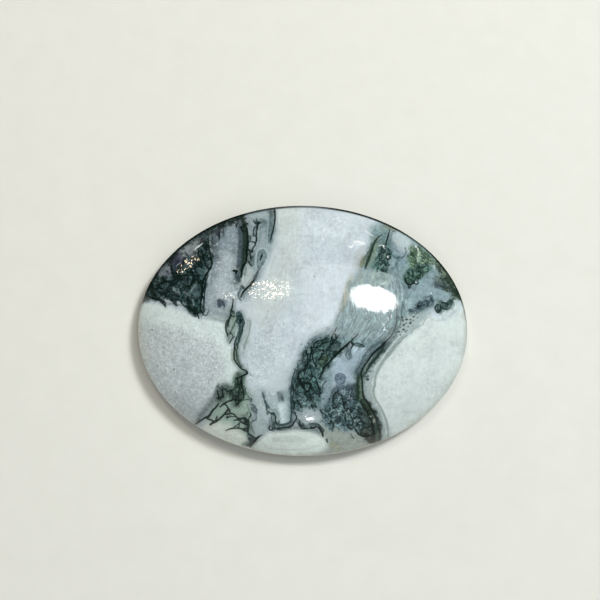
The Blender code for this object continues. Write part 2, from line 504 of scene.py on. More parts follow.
MOSS_PATCHES = [
    # The upper left corner, from the rim to the crisp double line
    Moss([(134, 300), (142, 278), (154, 260), (170, 244), (188, 231), (204, 221), (224, 213), (241, 208),
          (240, 219), (226, 227), (212, 234), (210, 250), (211.5, 262), (207, 276), (203, 300), (202, 313),
          (194, 314), (182, 303), (168, 300), (155, 298)],
          srgb(40, 80, 82), 0.85, srgb(0, 9, 11), 2.2, 1.0),
    # The mass left of the middle diagonal
    Moss([(331, 336), (336, 338), (339.6, 342), (342, 347), (341, 350), (329, 364), (321, 376), (320, 392),
          (318, 405), (306, 406), (296, 410), (293, 392), (297, 376), (304, 357), (312, 345), (324, 338.6)],
         srgb(86, 126, 127), 0.85, srgb(4, 34, 31), 1.9, 5.0),
    # The mottled ground below the blue pocket
    Moss([(336, 389), (346, 388), (355, 391), (359, 404), (368, 422), (361, 430), (353, 427), (346, 429),
          (340, 425), (333, 428), (326, 424), (324, 416), (329, 406), (334, 396)],
         srgb(124, 157, 162), 0.85, srgb(4, 32, 32), 1.4, 4.5),
    # The top right corner: a granular patch, a yellow-green mottle, a green lump, and the rim
    Moss([(380, 246), (386, 245), (390.6, 249), (390.6, 258), (389, 262), (389, 270), (386, 273.4),
          (376, 272.6), (373.6, 267), (376, 259), (378.6, 253)],
         srgb(102, 140, 132), 0.45, srgb(4, 28, 24), 1.6, 0.8),
    Moss([(411, 247.5), (415, 246), (419.6, 248), (425, 250.4), (430, 256), (433.4, 261), (430, 263.4),
          (424, 263.4), (418, 264.8), (412, 267), (409.8, 262), (409.4, 254)],
         srgb(118, 144, 122), 0.65, srgb(40, 66, 46), 1.2, 2.5),
    Moss([(405, 279), (405.6, 273), (408.5, 269), (413, 266.6), (418, 265), (423, 263.4), (427, 262.8),
          (430, 266), (429.4, 271), (426.4, 275), (422, 278.6), (417, 281.4), (413, 285), (408, 285),
          (405.6, 282)], srgb(78, 114, 100), 0.4, srgb(10, 34, 28), 1.0, 0.5),
    Moss([(434, 254), (446, 265), (456, 279), (464, 299), (460, 301), (450, 293), (440, 286), (436, 280),
          (441, 276), (437, 267)], srgb(96, 117, 102), 0.6, srgb(20, 40, 30), 1.1, 3.0),
    Moss([(435, 304), (440, 301), (447, 301), (454, 298), (455, 306), (449, 311), (443, 311), (438, 313)],
         srgb(94, 122, 116), 0.6, srgb(14, 38, 36), 0.0, 0.8),
    Moss([(419, 302), (425, 298), (429, 296), (433, 301), (429, 306), (421, 309), (412, 314), (409, 311),
          (414, 306)], srgb(100, 122, 128), 0.6, srgb(40, 58, 68), 2.7, 2.0),
    # The dark knot where the left vein opens out, and the patch beside it
    Moss([(235, 377), (242, 376), (244, 385), (246, 391), (244, 399), (237, 404), (231, 399), (230, 391),
          (234, 386)], srgb(84, 112, 96), 0.35, srgb(14, 38, 28), 1.6, 1.5),
    Moss([(217, 389), (223, 386), (231, 388), (231, 392), (223, 397), (218, 400)],
         srgb(88, 112, 98), 0.4, srgb(10, 30, 24), 1.2, 1.5),
    # The foot of the right-hand vein
    Moss([(361, 402), (369, 404), (376, 418), (381, 430), (380, 443), (370, 443), (365, 437), (369, 426),
          (371, 420)], srgb(58, 74, 58), 0.8, srgb(14, 28, 20), 1.2, 1.5),
    # Specks along the top of the band beside the corner
    Moss([(206, 222), (222, 212), (240, 207), (244, 214), (232, 221), (222, 228), (212, 232)],
         srgb(58, 78, 74), 0.8, srgb(8, 20, 18), 2.6, 4.0),
]

# Clear places inside the moss
WINDOWS = [
    # In the corner: a grey window, a purple shade, a lilac window and smaller ones
    Fill([(181, 250), (186, 245), (193, 241), (197, 239), (200, 241), (199, 245), (196, 252), (190, 256),
          (184, 254)], srgb(132, 142, 144), 1.2, 1.0),
    Fill([(171, 264), (175, 256), (180, 251), (183, 256), (184, 261), (179, 266), (174, 271), (171, 268)],
         srgb(50, 52, 76), 1.4, 0.95),
    Fill([(157, 273), (162, 266), (167, 262), (170, 267), (171, 273), (172, 277), (168, 279), (164, 276),
          (161, 277)], srgb(122, 132, 140), 1.2, 0.95),
    Fill([(193, 282), (196, 280), (199, 285), (200, 291), (199, 298), (194, 299), (190, 296), (186, 292),
          (190, 288)], srgb(76, 98, 98), 2.0, 0.85),
    Fill([(197, 267), (203, 264), (207, 266), (207, 272), (203, 277), (199, 275), (196, 271)],
         srgb(64, 88, 88), 2.0, 0.75),
    Fill([(172.5, 288), (175, 285), (178, 286.5), (178, 289), (176, 292), (173.5, 291)],
         srgb(140, 164, 160), 0.8, 0.95),
    Fill([(182, 280), (187, 278), (189, 283), (187, 288), (182, 287)], srgb(40, 60, 64), 1.5, 0.9),
    Fill([(194, 258), (199, 257), (199, 264), (195, 264)], srgb(70, 66, 62), 1.5, 0.7),
    # In the moss left of the middle diagonal
    Fill([(314, 350), (319, 349), (320, 354), (318, 359), (314, 358)], srgb(88, 116, 114), 1.2, 0.9),
    Fill([(323, 352), (327, 353), (328, 358), (324, 365), (319, 367), (317, 363), (320, 358)],
         srgb(74, 100, 84), 1.4, 0.95),
    Fill([(331, 344), (338, 341), (342, 346), (338, 351), (332, 354), (329, 350)],
         srgb(74, 94, 96), 1.4, 0.9),
    Fill([(319, 344), (327, 343), (328, 348), (321, 349)], srgb(80, 116, 112), 1.2, 0.85),
    Fill([(300, 396), (304, 396), (305, 400), (301, 402), (298, 400)], srgb(98, 124, 126), 1.0, 0.95),
    Fill([(304, 384.5), (308, 385), (307.5, 389), (304.5, 388)], srgb(110, 135, 115), 0.8, 0.95),
    Fill([(300, 404), (310, 402), (314, 406), (306, 408)], srgb(122, 148, 144), 2.0, 0.7),
    # In the mottled ground
    Fill([(334, 413), (338, 411), (341, 414), (338, 417), (334, 417)], srgb(152, 174, 180), 1.2, 0.95),
    Fill([(346, 394), (350, 393), (352, 397), (349, 401), (346, 399)], srgb(170, 188, 197), 1.2, 0.95),
    Fill([(352, 411), (356, 409), (358, 412), (354, 415)], srgb(136, 158, 166), 1.2, 0.9),
    Fill([(347, 402), (352, 401), (355, 405), (350, 408)], srgb(116, 140, 148), 1.6, 0.85),
    Fill([(352, 388), (357, 389), (358, 398), (353, 400), (350, 395)], srgb(94, 106, 122), 1.6, 0.85),
    Fill([(326, 398), (330, 397), (331, 404), (326, 406)], srgb(114, 134, 146), 1.6, 0.8),
    # Enclosed by the foot of the right-hand vein
    Fill([(361, 405), (365, 410), (370, 418), (370, 425), (364, 427), (361, 421), (359, 413)],
         srgb(94, 104, 106), 1.0, 0.95),
    Fill([(363, 430), (369, 428), (372, 431), (370, 435), (364, 435)], srgb(80, 84, 72), 0.8, 0.95),
    # The pale cell between the granular patch and the mottle
    Fill([(389.4, 259), (394, 258.4), (396, 262), (394, 267), (390.4, 268), (389, 263)],
         srgb(146, 168, 172), 1.0, 0.85),
    # Light spots in the yellow-green mottle
    Fill([(416, 252), (418, 249), (419.5, 253), (420, 258), (418, 263), (416.5, 258)], srgb(176, 200, 178),
         0.9, 0.85),
    Fill([(422, 261), (425, 260), (426, 263), (423, 265)], srgb(168, 186, 160), 0.9, 0.8),
]

FRINGES = [
    # Hairs stand off the left-hand side of each curve
    Fringe([(333, 331), (325, 336), (312, 342), (303, 356), (296, 372), (292, 388), (291, 410)],
           4.0, 2, 0.5),
    Fringe([(204, 314), (196, 316), (184, 306), (168, 303), (152, 299), (140, 300)], 3.5, 2, 0.8),
    Fringe([(362, 374), (363, 390), (366, 400), (373, 412), (378, 426)][::-1], 2.6, 3, 0.6),
    Fringe([(364, 370), (374, 358), (386, 348), (396, 336)][::-1], 2.6, 3, 0.5),
    Fringe([(268, 431), (290, 429), (300, 429), (318, 430)], 3.0, 3, 0.4),
    Fringe([(236, 282), (240, 270), (243, 250), (242, 230)][::-1], 2.6, 3, 0.35),
]

# Scattered small strokes that give the milky fields their grain
SPRINKLES = [
    # Lilac specks, then bright ones, in the lower left field
    Sprinkle([(150, 325), (185, 322), (222, 340), (226, 370), (208, 400), (190, 420), (160, 405),
              (142, 365)], 0.020, srgb(132, 146, 164), 0.4),
    Sprinkle([(140, 310), (185, 314), (228, 330), (232, 370), (208, 402), (190, 422), (156, 410),
              (134, 365)], 0.013, srgb(222, 232, 236), 0.7),
    # In the band beside the corner
    Sprinkle([(214, 240), (238, 236), (240, 285), (232, 312), (208, 312), (213, 270)], 0.018,
             srgb(222, 232, 238), 0.65),
    Sprinkle([(214, 232), (238, 226), (240, 285), (232, 312), (208, 312), (212, 270)], 0.02,
             srgb(96, 112, 130), 0.4),
    # In the middle field
    Sprinkle([(256, 322), (284, 318), (292, 345), (280, 372), (262, 376), (252, 350)], 0.028,
             srgb(134, 152, 172), 0.45),
    Sprinkle([(256, 322), (284, 318), (292, 345), (280, 376), (262, 386), (252, 350)], 0.025,
             srgb(236, 244, 246), 0.8),
    Sprinkle([(285, 222), (330, 218), (360, 232), (350, 262), (316, 276), (290, 262)], 0.022,
             srgb(142, 158, 182), 0.4),
    Sprinkle([(270, 210), (365, 225), (345, 275), (335, 318), (300, 345), (262, 350), (252, 320),
              (280, 270)], 0.010, srgb(150, 168, 186), 0.4),
    Sprinkle([(254, 378), (270, 376), (276, 400), (266, 418), (256, 400)], 0.03, srgb(232, 242, 242), 0.7),
]

# Scattered dark grains over the finer patches of moss
GRAINS = [
    Sprinkle([(381, 247), (386, 246), (390, 250), (390.4, 258), (388.6, 264), (388.6, 270), (385, 273),
              (376, 272), (374.4, 267), (376.4, 259)], 0.30, srgb(6, 30, 26), 0.95),
    Sprinkle([(406, 280), (406, 274), (409, 270), (414, 267), (424, 264), (429, 265), (429, 271),
              (422, 277.6), (413, 284), (407, 284)], 0.22, srgb(8, 36, 28), 0.9),
    Sprinkle([(411, 248), (419, 249), (429, 256), (432, 261), (424, 263), (412, 266), (410, 258)], 0.10,
             srgb(30, 56, 36), 0.8),
    Sprinkle([(437, 260), (446, 268), (456, 282), (461, 298), (452, 292), (442, 280)], 0.12,
             srgb(14, 32, 24), 0.85),
    Sprinkle([(436, 304), (446, 301.4), (454, 299), (454, 306), (444, 311), (437, 311)], 0.14,
             srgb(10, 36, 32), 0.85),
    Sprinkle([(300, 346), (316, 340), (334, 340), (328, 360), (316, 380), (314, 402), (296, 404),
              (296, 376)], 0.10, srgb(6, 32, 30), 0.9),
    Sprinkle([(334, 396), (356, 394), (366, 420), (344, 426), (326, 420)], 0.12, srgb(6, 32, 34), 0.85),
]

# Broad soft strokes
WASH = [
    # The green band and the shade on its left
    Line([(240.3, 224), (240.8, 240), (240.3, 254), (238.5, 266)], (4.5, 5.5, 4.5), 0.75, srgb(62, 76, 86)),
    Line([(244.3, 226), (244.6, 240), (244.2, 252), (243, 262), (241, 270)], (5.0, 6.0, 5.5, 3.0), 0.92,
         srgb(28, 46, 34)),
    Line([(215, 228), (217.5, 232), (219, 237)], (5.5, 4.5, 2.5), 0.85, srgb(36, 44, 54)),
    Line([(236.6, 275), (238.2, 278.6), (239, 281)], (5.0, 5.0, 2.5), 0.85, srgb(60, 75, 84)),
    # Beside the fine veins
    Line([(259, 219.5), (263, 220), (266, 222.5), (264, 225.5), (261, 227)], (2.2, 2.6, 2.6, 2.0), 0.6,
         srgb(92, 114, 118)),
    Line([(260.3, 228), (260, 236), (259, 243)], (2.4, 2.4), 0.5, srgb(120, 142, 146)),
    Line([(252, 258), (252.6, 264)], (4.5, 4.0), 0.7, srgb(70, 94, 96)),
    Line([(271, 212), (270.8, 222), (270.8, 232), (270.5, 241)], (4.5, 5.5, 5.0, 4.5), 0.75,
         srgb(104, 124, 128)),
    Line([(259, 252), (262, 250.5), (265, 252), (266, 256), (264.5, 260), (262, 264), (259, 268),
          (257.3, 265), (257.5, 259), (258, 254), (259, 252)], (3.0, 3.0), 0.7, srgb(100, 122, 126)),
    Line([(245.5, 267), (246, 271), (244.5, 275)], (2.0, 2.6, 1.4), 0.6, srgb(92, 112, 106)),
    Line([(242, 286.6), (243.5, 288)], (3.0, 2.4), 0.9, srgb(30, 50, 48)),
    Line([(242, 286.4), (240, 289.8), (238.5, 293.6), (238.8, 297.6), (241, 300.4)], (2.4, 2.6, 2.0, 1.6),
         0.85, srgb(58, 82, 80)),
    Line([(219, 300.5), (219.7, 306)], (4.2, 4.0), 0.85, srgb(58, 72, 82)),
    # The green grey between the strands of the left-hand vein
    Line([(233.6, 314), (234, 322), (233.6, 330), (233.8, 336)], (4.0, 5.6, 5.0, 3.0), 0.85,
         srgb(124, 146, 134)),
    Line([(239.6, 314), (240.6, 322), (240.4, 332), (238.8, 342)], (4.8, 5.6, 4.2, 2.6), 0.85,
         srgb(74, 99, 98)),
    Line([(237, 348), (236.8, 356), (239, 364)], (2.8, 3.4, 2.4), 0.75, srgb(108, 132, 118)),
    Line([(232.2, 349), (231.8, 355), (232.6, 360)], (2.2, 2.2), 0.5, srgb(150, 166, 136)),
    Line([(245.8, 322), (246, 332), (243.6, 343)], (2.2, 2.2), 0.5, srgb(194, 208, 210)),
    # Over the moss and inside it
    Line([(311, 340), (315, 338), (320, 336)], (2.6, 3.4, 3.0), 0.6, srgb(96, 118, 126)),
    Line([(321.4, 335), (326, 333.4)], (3.0, 2.4), 0.5, srgb(102, 122, 128)),
    Line([(298, 372), (297, 380), (300, 388)], (5.0, 5.0), 0.5, srgb(30, 56, 50)),
    Line([(313, 372), (314, 380), (312, 388)], (6.0, 7.0), 0.45, srgb(44, 84, 82)),
    # Two shadows under the diagonal
    Line([(348.6, 351), (348.4, 355), (349.4, 358.4)], (5.0, 5.6, 3.0), 0.6, srgb(118, 138, 144)),
    Line([(355, 345), (360, 345.6), (364, 346.4)], (2.8, 3.8, 2.0), 0.88, srgb(74, 96, 98)),
    # The ringed blob
    Line([(339.4, 378.2), (340.6, 379)], (8.4, 8.4), 0.85, srgb(94, 112, 128)),
    Line([(340, 384), (341, 392)], (9.0, 11.0), 0.55, srgb(100, 118, 130)),
    # The right-hand vein: its outer strands
    Line([(358.6, 371), (362.6, 363), (367.6, 355.6), (373, 349.6), (380, 345)], (3.2, 4.0, 4.6, 4.0, 2.4),
         0.8, srgb(100, 120, 126)),
    Line([(365, 373), (369.4, 365.6), (375, 358.6), (381, 351.6)], (3.2, 4.2, 4.2, 2.4), 0.85,
         srgb(58, 80, 72)),
    Line([(364.6, 371), (367.6, 364.4), (372, 357.6)], (1.6, 1.8, 1.4), 0.7, srgb(136, 154, 150)),
    Line([(358.2, 376), (357.6, 384), (357.6, 392), (357.8, 399)], (3.0, 3.4, 3.8, 4.0), 0.9,
         srgb(42, 60, 48)),
    Line([(361, 378), (360.8, 388), (361.4, 396), (363.6, 403)], (1.6, 1.9, 2.2, 1.6), 0.75,
         srgb(104, 130, 114)),
    Line([(363, 400), (366.6, 406), (370, 412)], (4.0, 5.4, 4.0), 0.85, srgb(44, 62, 48)),
    Line([(363.6, 401), (365.6, 405.6)], (1.2, 1.0), 0.7, srgb(84, 114, 80)),
    Line([(376, 425), (376.8, 432), (376.6, 440)], (3.6, 4.2, 4.6), 0.8, srgb(84, 104, 96)),
    # The pale shade at the top right and the brown stain under it
    Line([(362, 250), (358, 258), (356, 266)], (8.0, 9.0, 7.0), 0.45, srgb(172, 178, 176)),
    Line([(376, 246), (372, 256), (369, 264)], (6.0, 6.0), 0.6, srgb(116, 138, 124)),
    Line([(363.4, 258), (361.8, 263), (360.4, 267)], (2.6, 4.2, 2.6), 0.75, srgb(112, 120, 98)),
    Line([(391.6, 233), (391, 240), (390, 246)], (2.6, 2.4, 1.6), 0.6, srgb(86, 108, 114)),
    Line([(396.3, 262), (397, 267)], (3.0, 2.4), 0.6, srgb(96, 120, 130)),
    Line([(413, 286), (414.5, 289)], (4.5, 3.6), 0.6, srgb(98, 118, 128)),
    Line([(438, 282), (443, 283), (448, 286)], (4.0, 5.0, 3.0), 0.55, srgb(92, 108, 112)),
    Line([(361, 274), (361, 281)], (6.0, 6.0), 0.55, srgb(128, 150, 142)),
    Line([(446, 278), (451, 284.6), (456, 291.6), (460, 298.6)], (1.6, 2.6, 3.4, 2.6), 0.75,
         srgb(38, 56, 44)),
    # The loop of the angular vein
    Line([(263.3, 393), (264.3, 398)], (3.4, 3.0), 0.5, srgb(112, 130, 132)),
    Line([(266, 402), (268, 407)], (3.6, 3.0), 0.5, srgb(104, 124, 124)),
    Line([(269.6, 408.6), (274, 410.6), (277.8, 414), (279, 420)], (2.6, 3.6, 3.8, 4.0), 0.55,
         srgb(122, 145, 142)),
    Line([(273, 417), (273.4, 421)], (3.6, 3.8), 0.5, srgb(120, 145, 138)),
    Line([(271, 420), (273, 424), (275, 428)], (5.0, 5.0), 0.5, srgb(96, 118, 120)),
    Line([(277, 426), (284, 426), (290, 424.5)], (4.0, 5.0, 4.0), 0.6, srgb(90, 114, 118)),
    Line([(292, 386), (291.5, 398), (292.5, 410), (292.5, 420)], (3.6, 3.6, 4.6), 0.5, srgb(84, 110, 114)),
    # Over and under the arch
    Line([(298, 421), (303, 426), (310, 427)], (4.6, 5.0, 4.0), 0.6, srgb(74, 96, 98)),
    Line([(310, 424.5), (316, 424.6), (320.5, 427.5), (323.5, 431)], (3.0, 4.0, 3.6, 2.0), 0.8,
         srgb(62, 88, 88)),
    Line([(249, 436), (252, 441), (248, 445)], (5.0, 6.0, 4.0), 0.6, srgb(80, 102, 96)),
    Line([(274, 440), (288, 439), (304, 440.6)], (4.0, 6.4, 4.4), 0.35, srgb(170, 183, 176)),
    Line([(262, 443), (268, 447.6), (284, 449.6), (304, 449), (318, 446)], (1.6, 2.2, 1.8), 0.3,
         srgb(176, 186, 178)),
    Line([(268, 437.6), (284, 434.8), (304, 435.4), (317, 439.4)], (1.2, 1.8, 1.4), 0.4,
         srgb(222, 232, 226)),
    # Beside the right-hand vein
    Line([(399, 342.6), (393, 349.4), (388, 356), (382.6, 362), (378.4, 370), (375, 378), (374, 386),
          (373.4, 395), (378, 404.6), (383.6, 415), (387, 428)], (2.4, 3.6, 3.2, 4.0, 3.0), 0.5,
         srgb(150, 167, 161)),
    Line([(279, 393), (279.5, 400)], (3.4, 2.4), 0.5, srgb(112, 128, 134)),
    Line([(282.3, 396), (283, 400)], (2.6, 2.2), 0.65, srgb(92, 108, 114)),
]

INK = [
    # The crisp right-hand edge of the dark corner
    Line([(208, 238), (208.6, 246), (209.6, 251), (210.4, 257), (212, 262), (211, 267), (208, 272),
          (205, 277), (202.5, 283)], (1.2, 1.8, 2.4, 2.0), 0.95),
    Line([(202.5, 283), (201.8, 291), (201.2, 300), (200.2, 308), (201.4, 312), (203, 313.5)],
         (2.0, 2.2, 1.8, 1.4), 0.95),
    Line([(208.6, 275), (206, 282), (204.9, 290), (204.2, 300), (203.9, 307), (204.5, 312)],
         (0.9, 1.5, 1.5, 1.1), 0.85),
    Line([(210.7, 240), (213, 243.4), (211.7, 246)], (1.2, 0.9), 0.8),
    Line([(210, 252), (213.4, 256), (212.5, 258)], (1.5, 1.0), 0.85),
    Line([(219.6, 226), (219.4, 234), (219, 241)], (2.6, 2.2, 1.0), 0.85, srgb(24, 32, 44)),
    Line([(224.4, 222), (223.2, 229), (224, 236)], (1.8, 0.8), 0.55),
    Line([(212, 229), (212, 236), (213, 240)], (1.3, 0.8), 0.8),
    # Its lower edge and teeth
    Line([(148, 296), (154, 298.5), (160, 300.3), (163, 303.7), (165.6, 307)], (2.4, 3.0, 2.2, 1.0), 0.95),
    Line([(160, 299), (164, 301.6), (165.6, 304.5)], (2.0, 2.4, 1.4), 0.9),
    Line([(171, 300), (174, 303), (176, 306)], (1.8, 0.9), 0.9),
    Line([(175.3, 301), (177.5, 306)], (1.6, 0.9), 0.85),
    Line([(181, 302), (184, 305.3), (188, 308), (190, 311)], (1.2, 1.6, 0.9), 0.9),
    Line([(188, 303), (191, 308), (194, 313), (195.5, 317)], (1.2, 2.2, 1.0), 0.95),
    Line([(195, 308), (197, 313), (199, 318.5)], (1.8, 2.4, 1.2), 0.95, srgb(14, 34, 24)),
    Line([(203, 315), (206, 315.6), (208, 312.6), (209.5, 310)], (1.0, 1.4, 0.6), 0.7, srgb(40, 64, 56)),
    # Black chains inside the corner
    Line([(151, 283), (153, 288), (151.5, 292), (155.5, 295)], (2.2, 2.0), 0.95),
    Line([(157, 289), (160, 284.6), (165, 281.5), (171, 281.5), (177, 278.6), (183, 275), (189, 275.5)],
         (1.6, 2.4, 2.6, 2.2, 1.4), 0.92),
    Line([(168, 287), (172, 284.5), (176, 283), (180, 279)], (1.6, 2.2, 1.4), 0.9),
    Line([(156, 277.5), (158, 279)], (2.0, 2.0), 0.95),
    Line([(162.5, 277.7), (164.4, 280)], (2.4, 2.4), 0.95),
    Line([(175.5, 277), (178.5, 275.5)], (2.4, 2.2), 0.95),
    Line([(171.2, 263), (171.6, 270), (173, 275), (176, 279)], (1.4, 2.2, 2.0), 0.9),
    Line([(173.4, 257), (171.7, 262)], (1.8, 1.8), 0.85, srgb(24, 22, 40)),
    Line([(191, 267), (191.5, 272), (193.5, 277), (192, 283), (189.5, 287.5)], (1.6, 2.4, 2.4, 1.8), 0.95),
    Line([(193, 277), (197, 280.5), (201.5, 285)], (1.3, 1.7, 1.3), 0.92),
    Line([(197, 276.4), (200, 279.8), (203, 283)], (1.0, 1.2), 0.85),
    Line([(180.5, 289), (181.5, 294)], (2.2, 1.6), 0.9),
    Line([(160.5, 288), (162.5, 289)], (2.6, 2.2), 0.95),
    Line([(157, 291.5), (160, 293), (166, 296), (172, 298.5), (180, 300)], (1.5, 1.3, 1.2, 1.4), 0.8),
    Line([(183, 283.6), (186, 286.5), (189, 286)], (1.6, 1.6), 0.85),
    Line([(198, 248), (198.8, 255), (200, 261), (202, 267)], (1.0, 1.4, 1.3), 0.85),
    Line([(203, 255), (203.5, 260), (205.5, 265)], (3.0, 2.6, 1.4), 0.92),
    Line([(205, 243), (206.5, 248), (206, 253), (207.3, 258)], (1.5, 1.3), 0.85),
    Line([(196, 262), (199, 266), (204, 269)], (1.4, 1.6, 1.0), 0.85),
    Line([(185, 270), (188.4, 273)], (1.6, 1.2), 0.85),
    Line([(177.6, 268), (180.6, 271.5), (180, 275)], (1.6, 1.4), 0.85),
    Line([(187, 295.5), (189, 300), (192, 304)], (1.0, 1.4), 0.8),
    Line([(169, 290), (171, 295), (174, 299)], (1.0, 1.2), 0.75),
    # The green band down from the top
    Line([(246.8, 228), (247.6, 236), (247.8, 244), (247, 251), (246.6, 258), (246, 262), (243.5, 266),
          (242, 271), (241, 277)], (2.0, 2.6, 2.4, 2.2, 1.7), 0.96),
    Line([(245.5, 218), (243.5, 221), (247.8, 224)], (1.6, 2.0, 1.5), 0.92),
    Line([(241.5, 218), (242.5, 222), (244, 226)], (2.0, 2.2), 0.9),
    Line([(236, 224), (236.5, 227)], (1.8, 1.6), 0.9),
    Line([(238.5, 221), (237.6, 224.5)], (1.2, 1.0), 0.7),
    Line([(241, 227.5), (243, 232)], (2.2, 1.8), 0.85),
    Line([(233.8, 270.6), (236.4, 271.2)], (2.4, 3.2), 0.97),
    Line([(236.2, 271.6), (235.8, 274.2)], (2.6, 0.9), 0.97),
    # Fine veins to its right
    Line([(256.5, 219), (257.5, 223), (257, 229), (256.3, 235), (256.5, 240), (255, 245), (253, 248),
          (252.7, 252)], (0.9, 2.2, 1.4, 1.7, 1.3, 1.3), 0.93),
    Line([(253.5, 220.5), (255, 223.3), (257.5, 223.6), (260, 222.5)], (1.1, 1.5, 2.2), 0.9),
    Line([(254.3, 227), (253.3, 232), (253.5, 236), (256, 236)], (1.2, 1.3, 0.9), 0.8),
    Line([(250, 236), (250.7, 239)], (1.2, 1.0), 0.75),
    Line([(248.5, 240), (251, 241.3), (254.6, 242.5)], (1.0, 1.2), 0.85),
    Line([(246.5, 247), (249, 250), (252.5, 252)], (1.6, 1.7, 1.6), 0.93),
    Line([(249.5, 251), (250.5, 256), (251, 260)], (1.5, 1.7), 0.85),
    Line([(248.7, 261.5), (250, 264), (251.5, 266)], (1.6, 1.8), 0.8),
    Line([(253, 257), (255, 254)], (1.2, 0.8), 0.6),
    Line([(274.6, 210.5), (275, 216), (274.6, 222), (273.6, 228), (272.3, 233), (271, 238), (270.6, 241)],
         (2.4, 1.9, 1.5, 1.3, 1.0), 0.95),
    Line([(270.3, 212), (271, 216)], (2.2, 1.8), 0.6, srgb(66, 82, 88)),
    Line([(262.3, 254), (261.3, 257), (260, 260)], (1.4, 2.1, 1.5), 0.9),
    Line([(259, 269.4), (257.2, 273), (255.7, 276.4), (254.2, 279.4)], (0.9, 2.8, 3.2, 2.2), 0.8,
         srgb(72, 78, 84)),
    Line([(254.8, 278.4), (253.5, 280.6), (252, 283), (249.5, 286), (246.5, 288.5), (244, 291), (242, 294),
          (240.8, 297.4)], (1.4, 2.2, 2.2, 2.0, 2.0, 1.8, 1.2), 0.95, srgb(16, 28, 24)),
    Line([(222, 301), (224, 305)], (2.2, 2.4), 0.75, srgb(52, 66, 76)),
    Line([(224.5, 306.5), (223.5, 309)], (1.6, 1.0), 0.6, srgb(60, 74, 82)),
    # The left-hand vein, a bundle of strands
    Line([(233.4, 298), (232.4, 306), (231.2, 311), (230.3, 316), (228.8, 320), (227.8, 326)],
         (0.9, 1.3, 1.6, 1.5, 1.8, 1.3), 0.95),
    Line([(227, 321), (226, 326), (226.2, 331), (227.9, 336.6)], (1.6, 2.8, 2.0, 1.4), 0.85,
         srgb(30, 52, 38)),
    Line([(236.8, 318), (235, 322), (233.6, 326), (232, 329), (230.6, 332)], (0.8, 1.1, 1.2), 0.8,
         srgb(40, 66, 58)),
    Line([(230.4, 332.4), (233.2, 336.8), (232, 338.6), (230.8, 341), (229.6, 343.4)], (1.2, 1.0, 1.4, 1.2),
         0.9, srgb(22, 46, 36)),
    Line([(230.2, 332.8), (228.4, 334.8)], (1.2, 0.9), 0.8, srgb(28, 52, 40)),
    Line([(234, 311.8), (234, 313.2)], (2.0, 1.6), 0.88, srgb(24, 46, 46)),
    Line([(232.2, 315.2), (233.2, 316.8), (234.6, 316.2)], (0.8, 1.6, 1.0), 0.88, srgb(20, 46, 40)),
    Line([(237, 314.4), (237.2, 312.4), (238.4, 311.7), (239.6, 312.8), (240.2, 314.4)], (1.1, 1.2), 0.75,
         srgb(52, 76, 80)),
    Line([(236.4, 315.4), (237.6, 316.8), (237, 319.6), (236.8, 322.4)], (1.8, 2.4, 1.8, 1.0), 0.82,
         srgb(26, 52, 52)),
    Line([(239.6, 315.8), (240, 318.6), (240.4, 321.8), (240, 324)], (1.0, 1.3, 2.4, 1.2), 0.95,
         srgb(6, 30, 32)),
    Line([(241, 313.8), (242, 316), (242.8, 319), (244.3, 322), (244.2, 324.4), (242.8, 325.8)],
         (1.0, 1.5, 1.6, 1.3), 0.82, srgb(34, 58, 58)),
    Line([(242.4, 321.6), (242.8, 323.6)], (1.1, 1.0), 0.7, srgb(50, 76, 78)),
    Line([(237.6, 320.6), (238.4, 323.6), (239.8, 326), (239.4, 330)], (1.0, 1.6, 1.8, 1.4), 0.75,
         srgb(50, 74, 74)),
    Line([(242.5, 326), (242.5, 329), (242.2, 331.8), (241.9, 334.6)], (1.2, 1.4, 1.3, 0.8), 0.93,
         srgb(14, 42, 36)),
    Line([(238.8, 331.6), (237.6, 335), (236.6, 338), (236, 340)], (1.0, 1.4, 1.0), 0.85, srgb(36, 64, 52)),
    Line([(241, 330.6), (240.6, 335), (239.4, 338.2), (238.2, 342), (237.6, 346), (237.7, 348.6)],
         (1.0, 1.4, 1.6, 1.2), 0.88, srgb(28, 56, 48)),
    Line([(235.8, 337.6), (234.9, 342), (234.5, 348), (234, 353), (234.3, 359), (236.6, 363.4),
          (239.6, 367), (242.8, 370)], (0.9, 1.6, 1.7, 1.6, 1.4, 1.4), 0.93, srgb(14, 36, 26)),
    Line([(236.8, 348), (237, 355.6), (238.6, 361.4), (241.8, 366.8)], (1.1, 1.0, 0.9), 0.78,
         srgb(42, 64, 52)),
    Line([(243.6, 369.6), (246.6, 371.2), (247.4, 373.4), (244, 375.2), (240, 377), (236, 378.4)],
         (1.3, 2.0, 1.7, 1.5, 1.4), 0.93),
    # The knot below it
    Line([(236, 378.4), (237.8, 380), (237.6, 384.4), (236.6, 388)], (2.0, 1.9, 1.7, 1.0), 0.93,
         srgb(14, 38, 30)),
    Line([(241.6, 376), (241.6, 382), (242.2, 388), (243, 391.6), (244, 397.6)],
         (1.5, 1.7, 1.6, 1.4, 1.0), 0.95),
    Line([(239.4, 384), (239.6, 388), (238.4, 391.6), (238.8, 396), (239.6, 401)],
         (1.2, 1.3, 1.4, 1.1, 0.9), 0.88),
    Line([(235.4, 384), (234.6, 388), (232, 390.6), (230, 393), (229.6, 398)], (1.2, 1.2, 1.1, 0.9), 0.88),
    Line([(231.4, 391.6), (233.2, 394.6), (232.2, 398)], (1.0, 1.1, 0.8), 0.85),
    Line([(241.4, 389.6), (241.9, 393), (240.2, 395)], (1.1, 1.1, 0.8), 0.88),
    Line([(243.6, 397.6), (240.4, 401), (237.4, 404), (235.8, 406)], (1.0, 1.4, 1.6, 1.0), 0.92),
    Line([(235, 396.6), (236.6, 397.2)], (1.7, 1.5), 0.9),
    Line([(236, 398.6), (235.8, 402.4), (236.6, 404.6)], (1.1, 1.2), 0.85),
    # The dark patch and the two diagonals below it
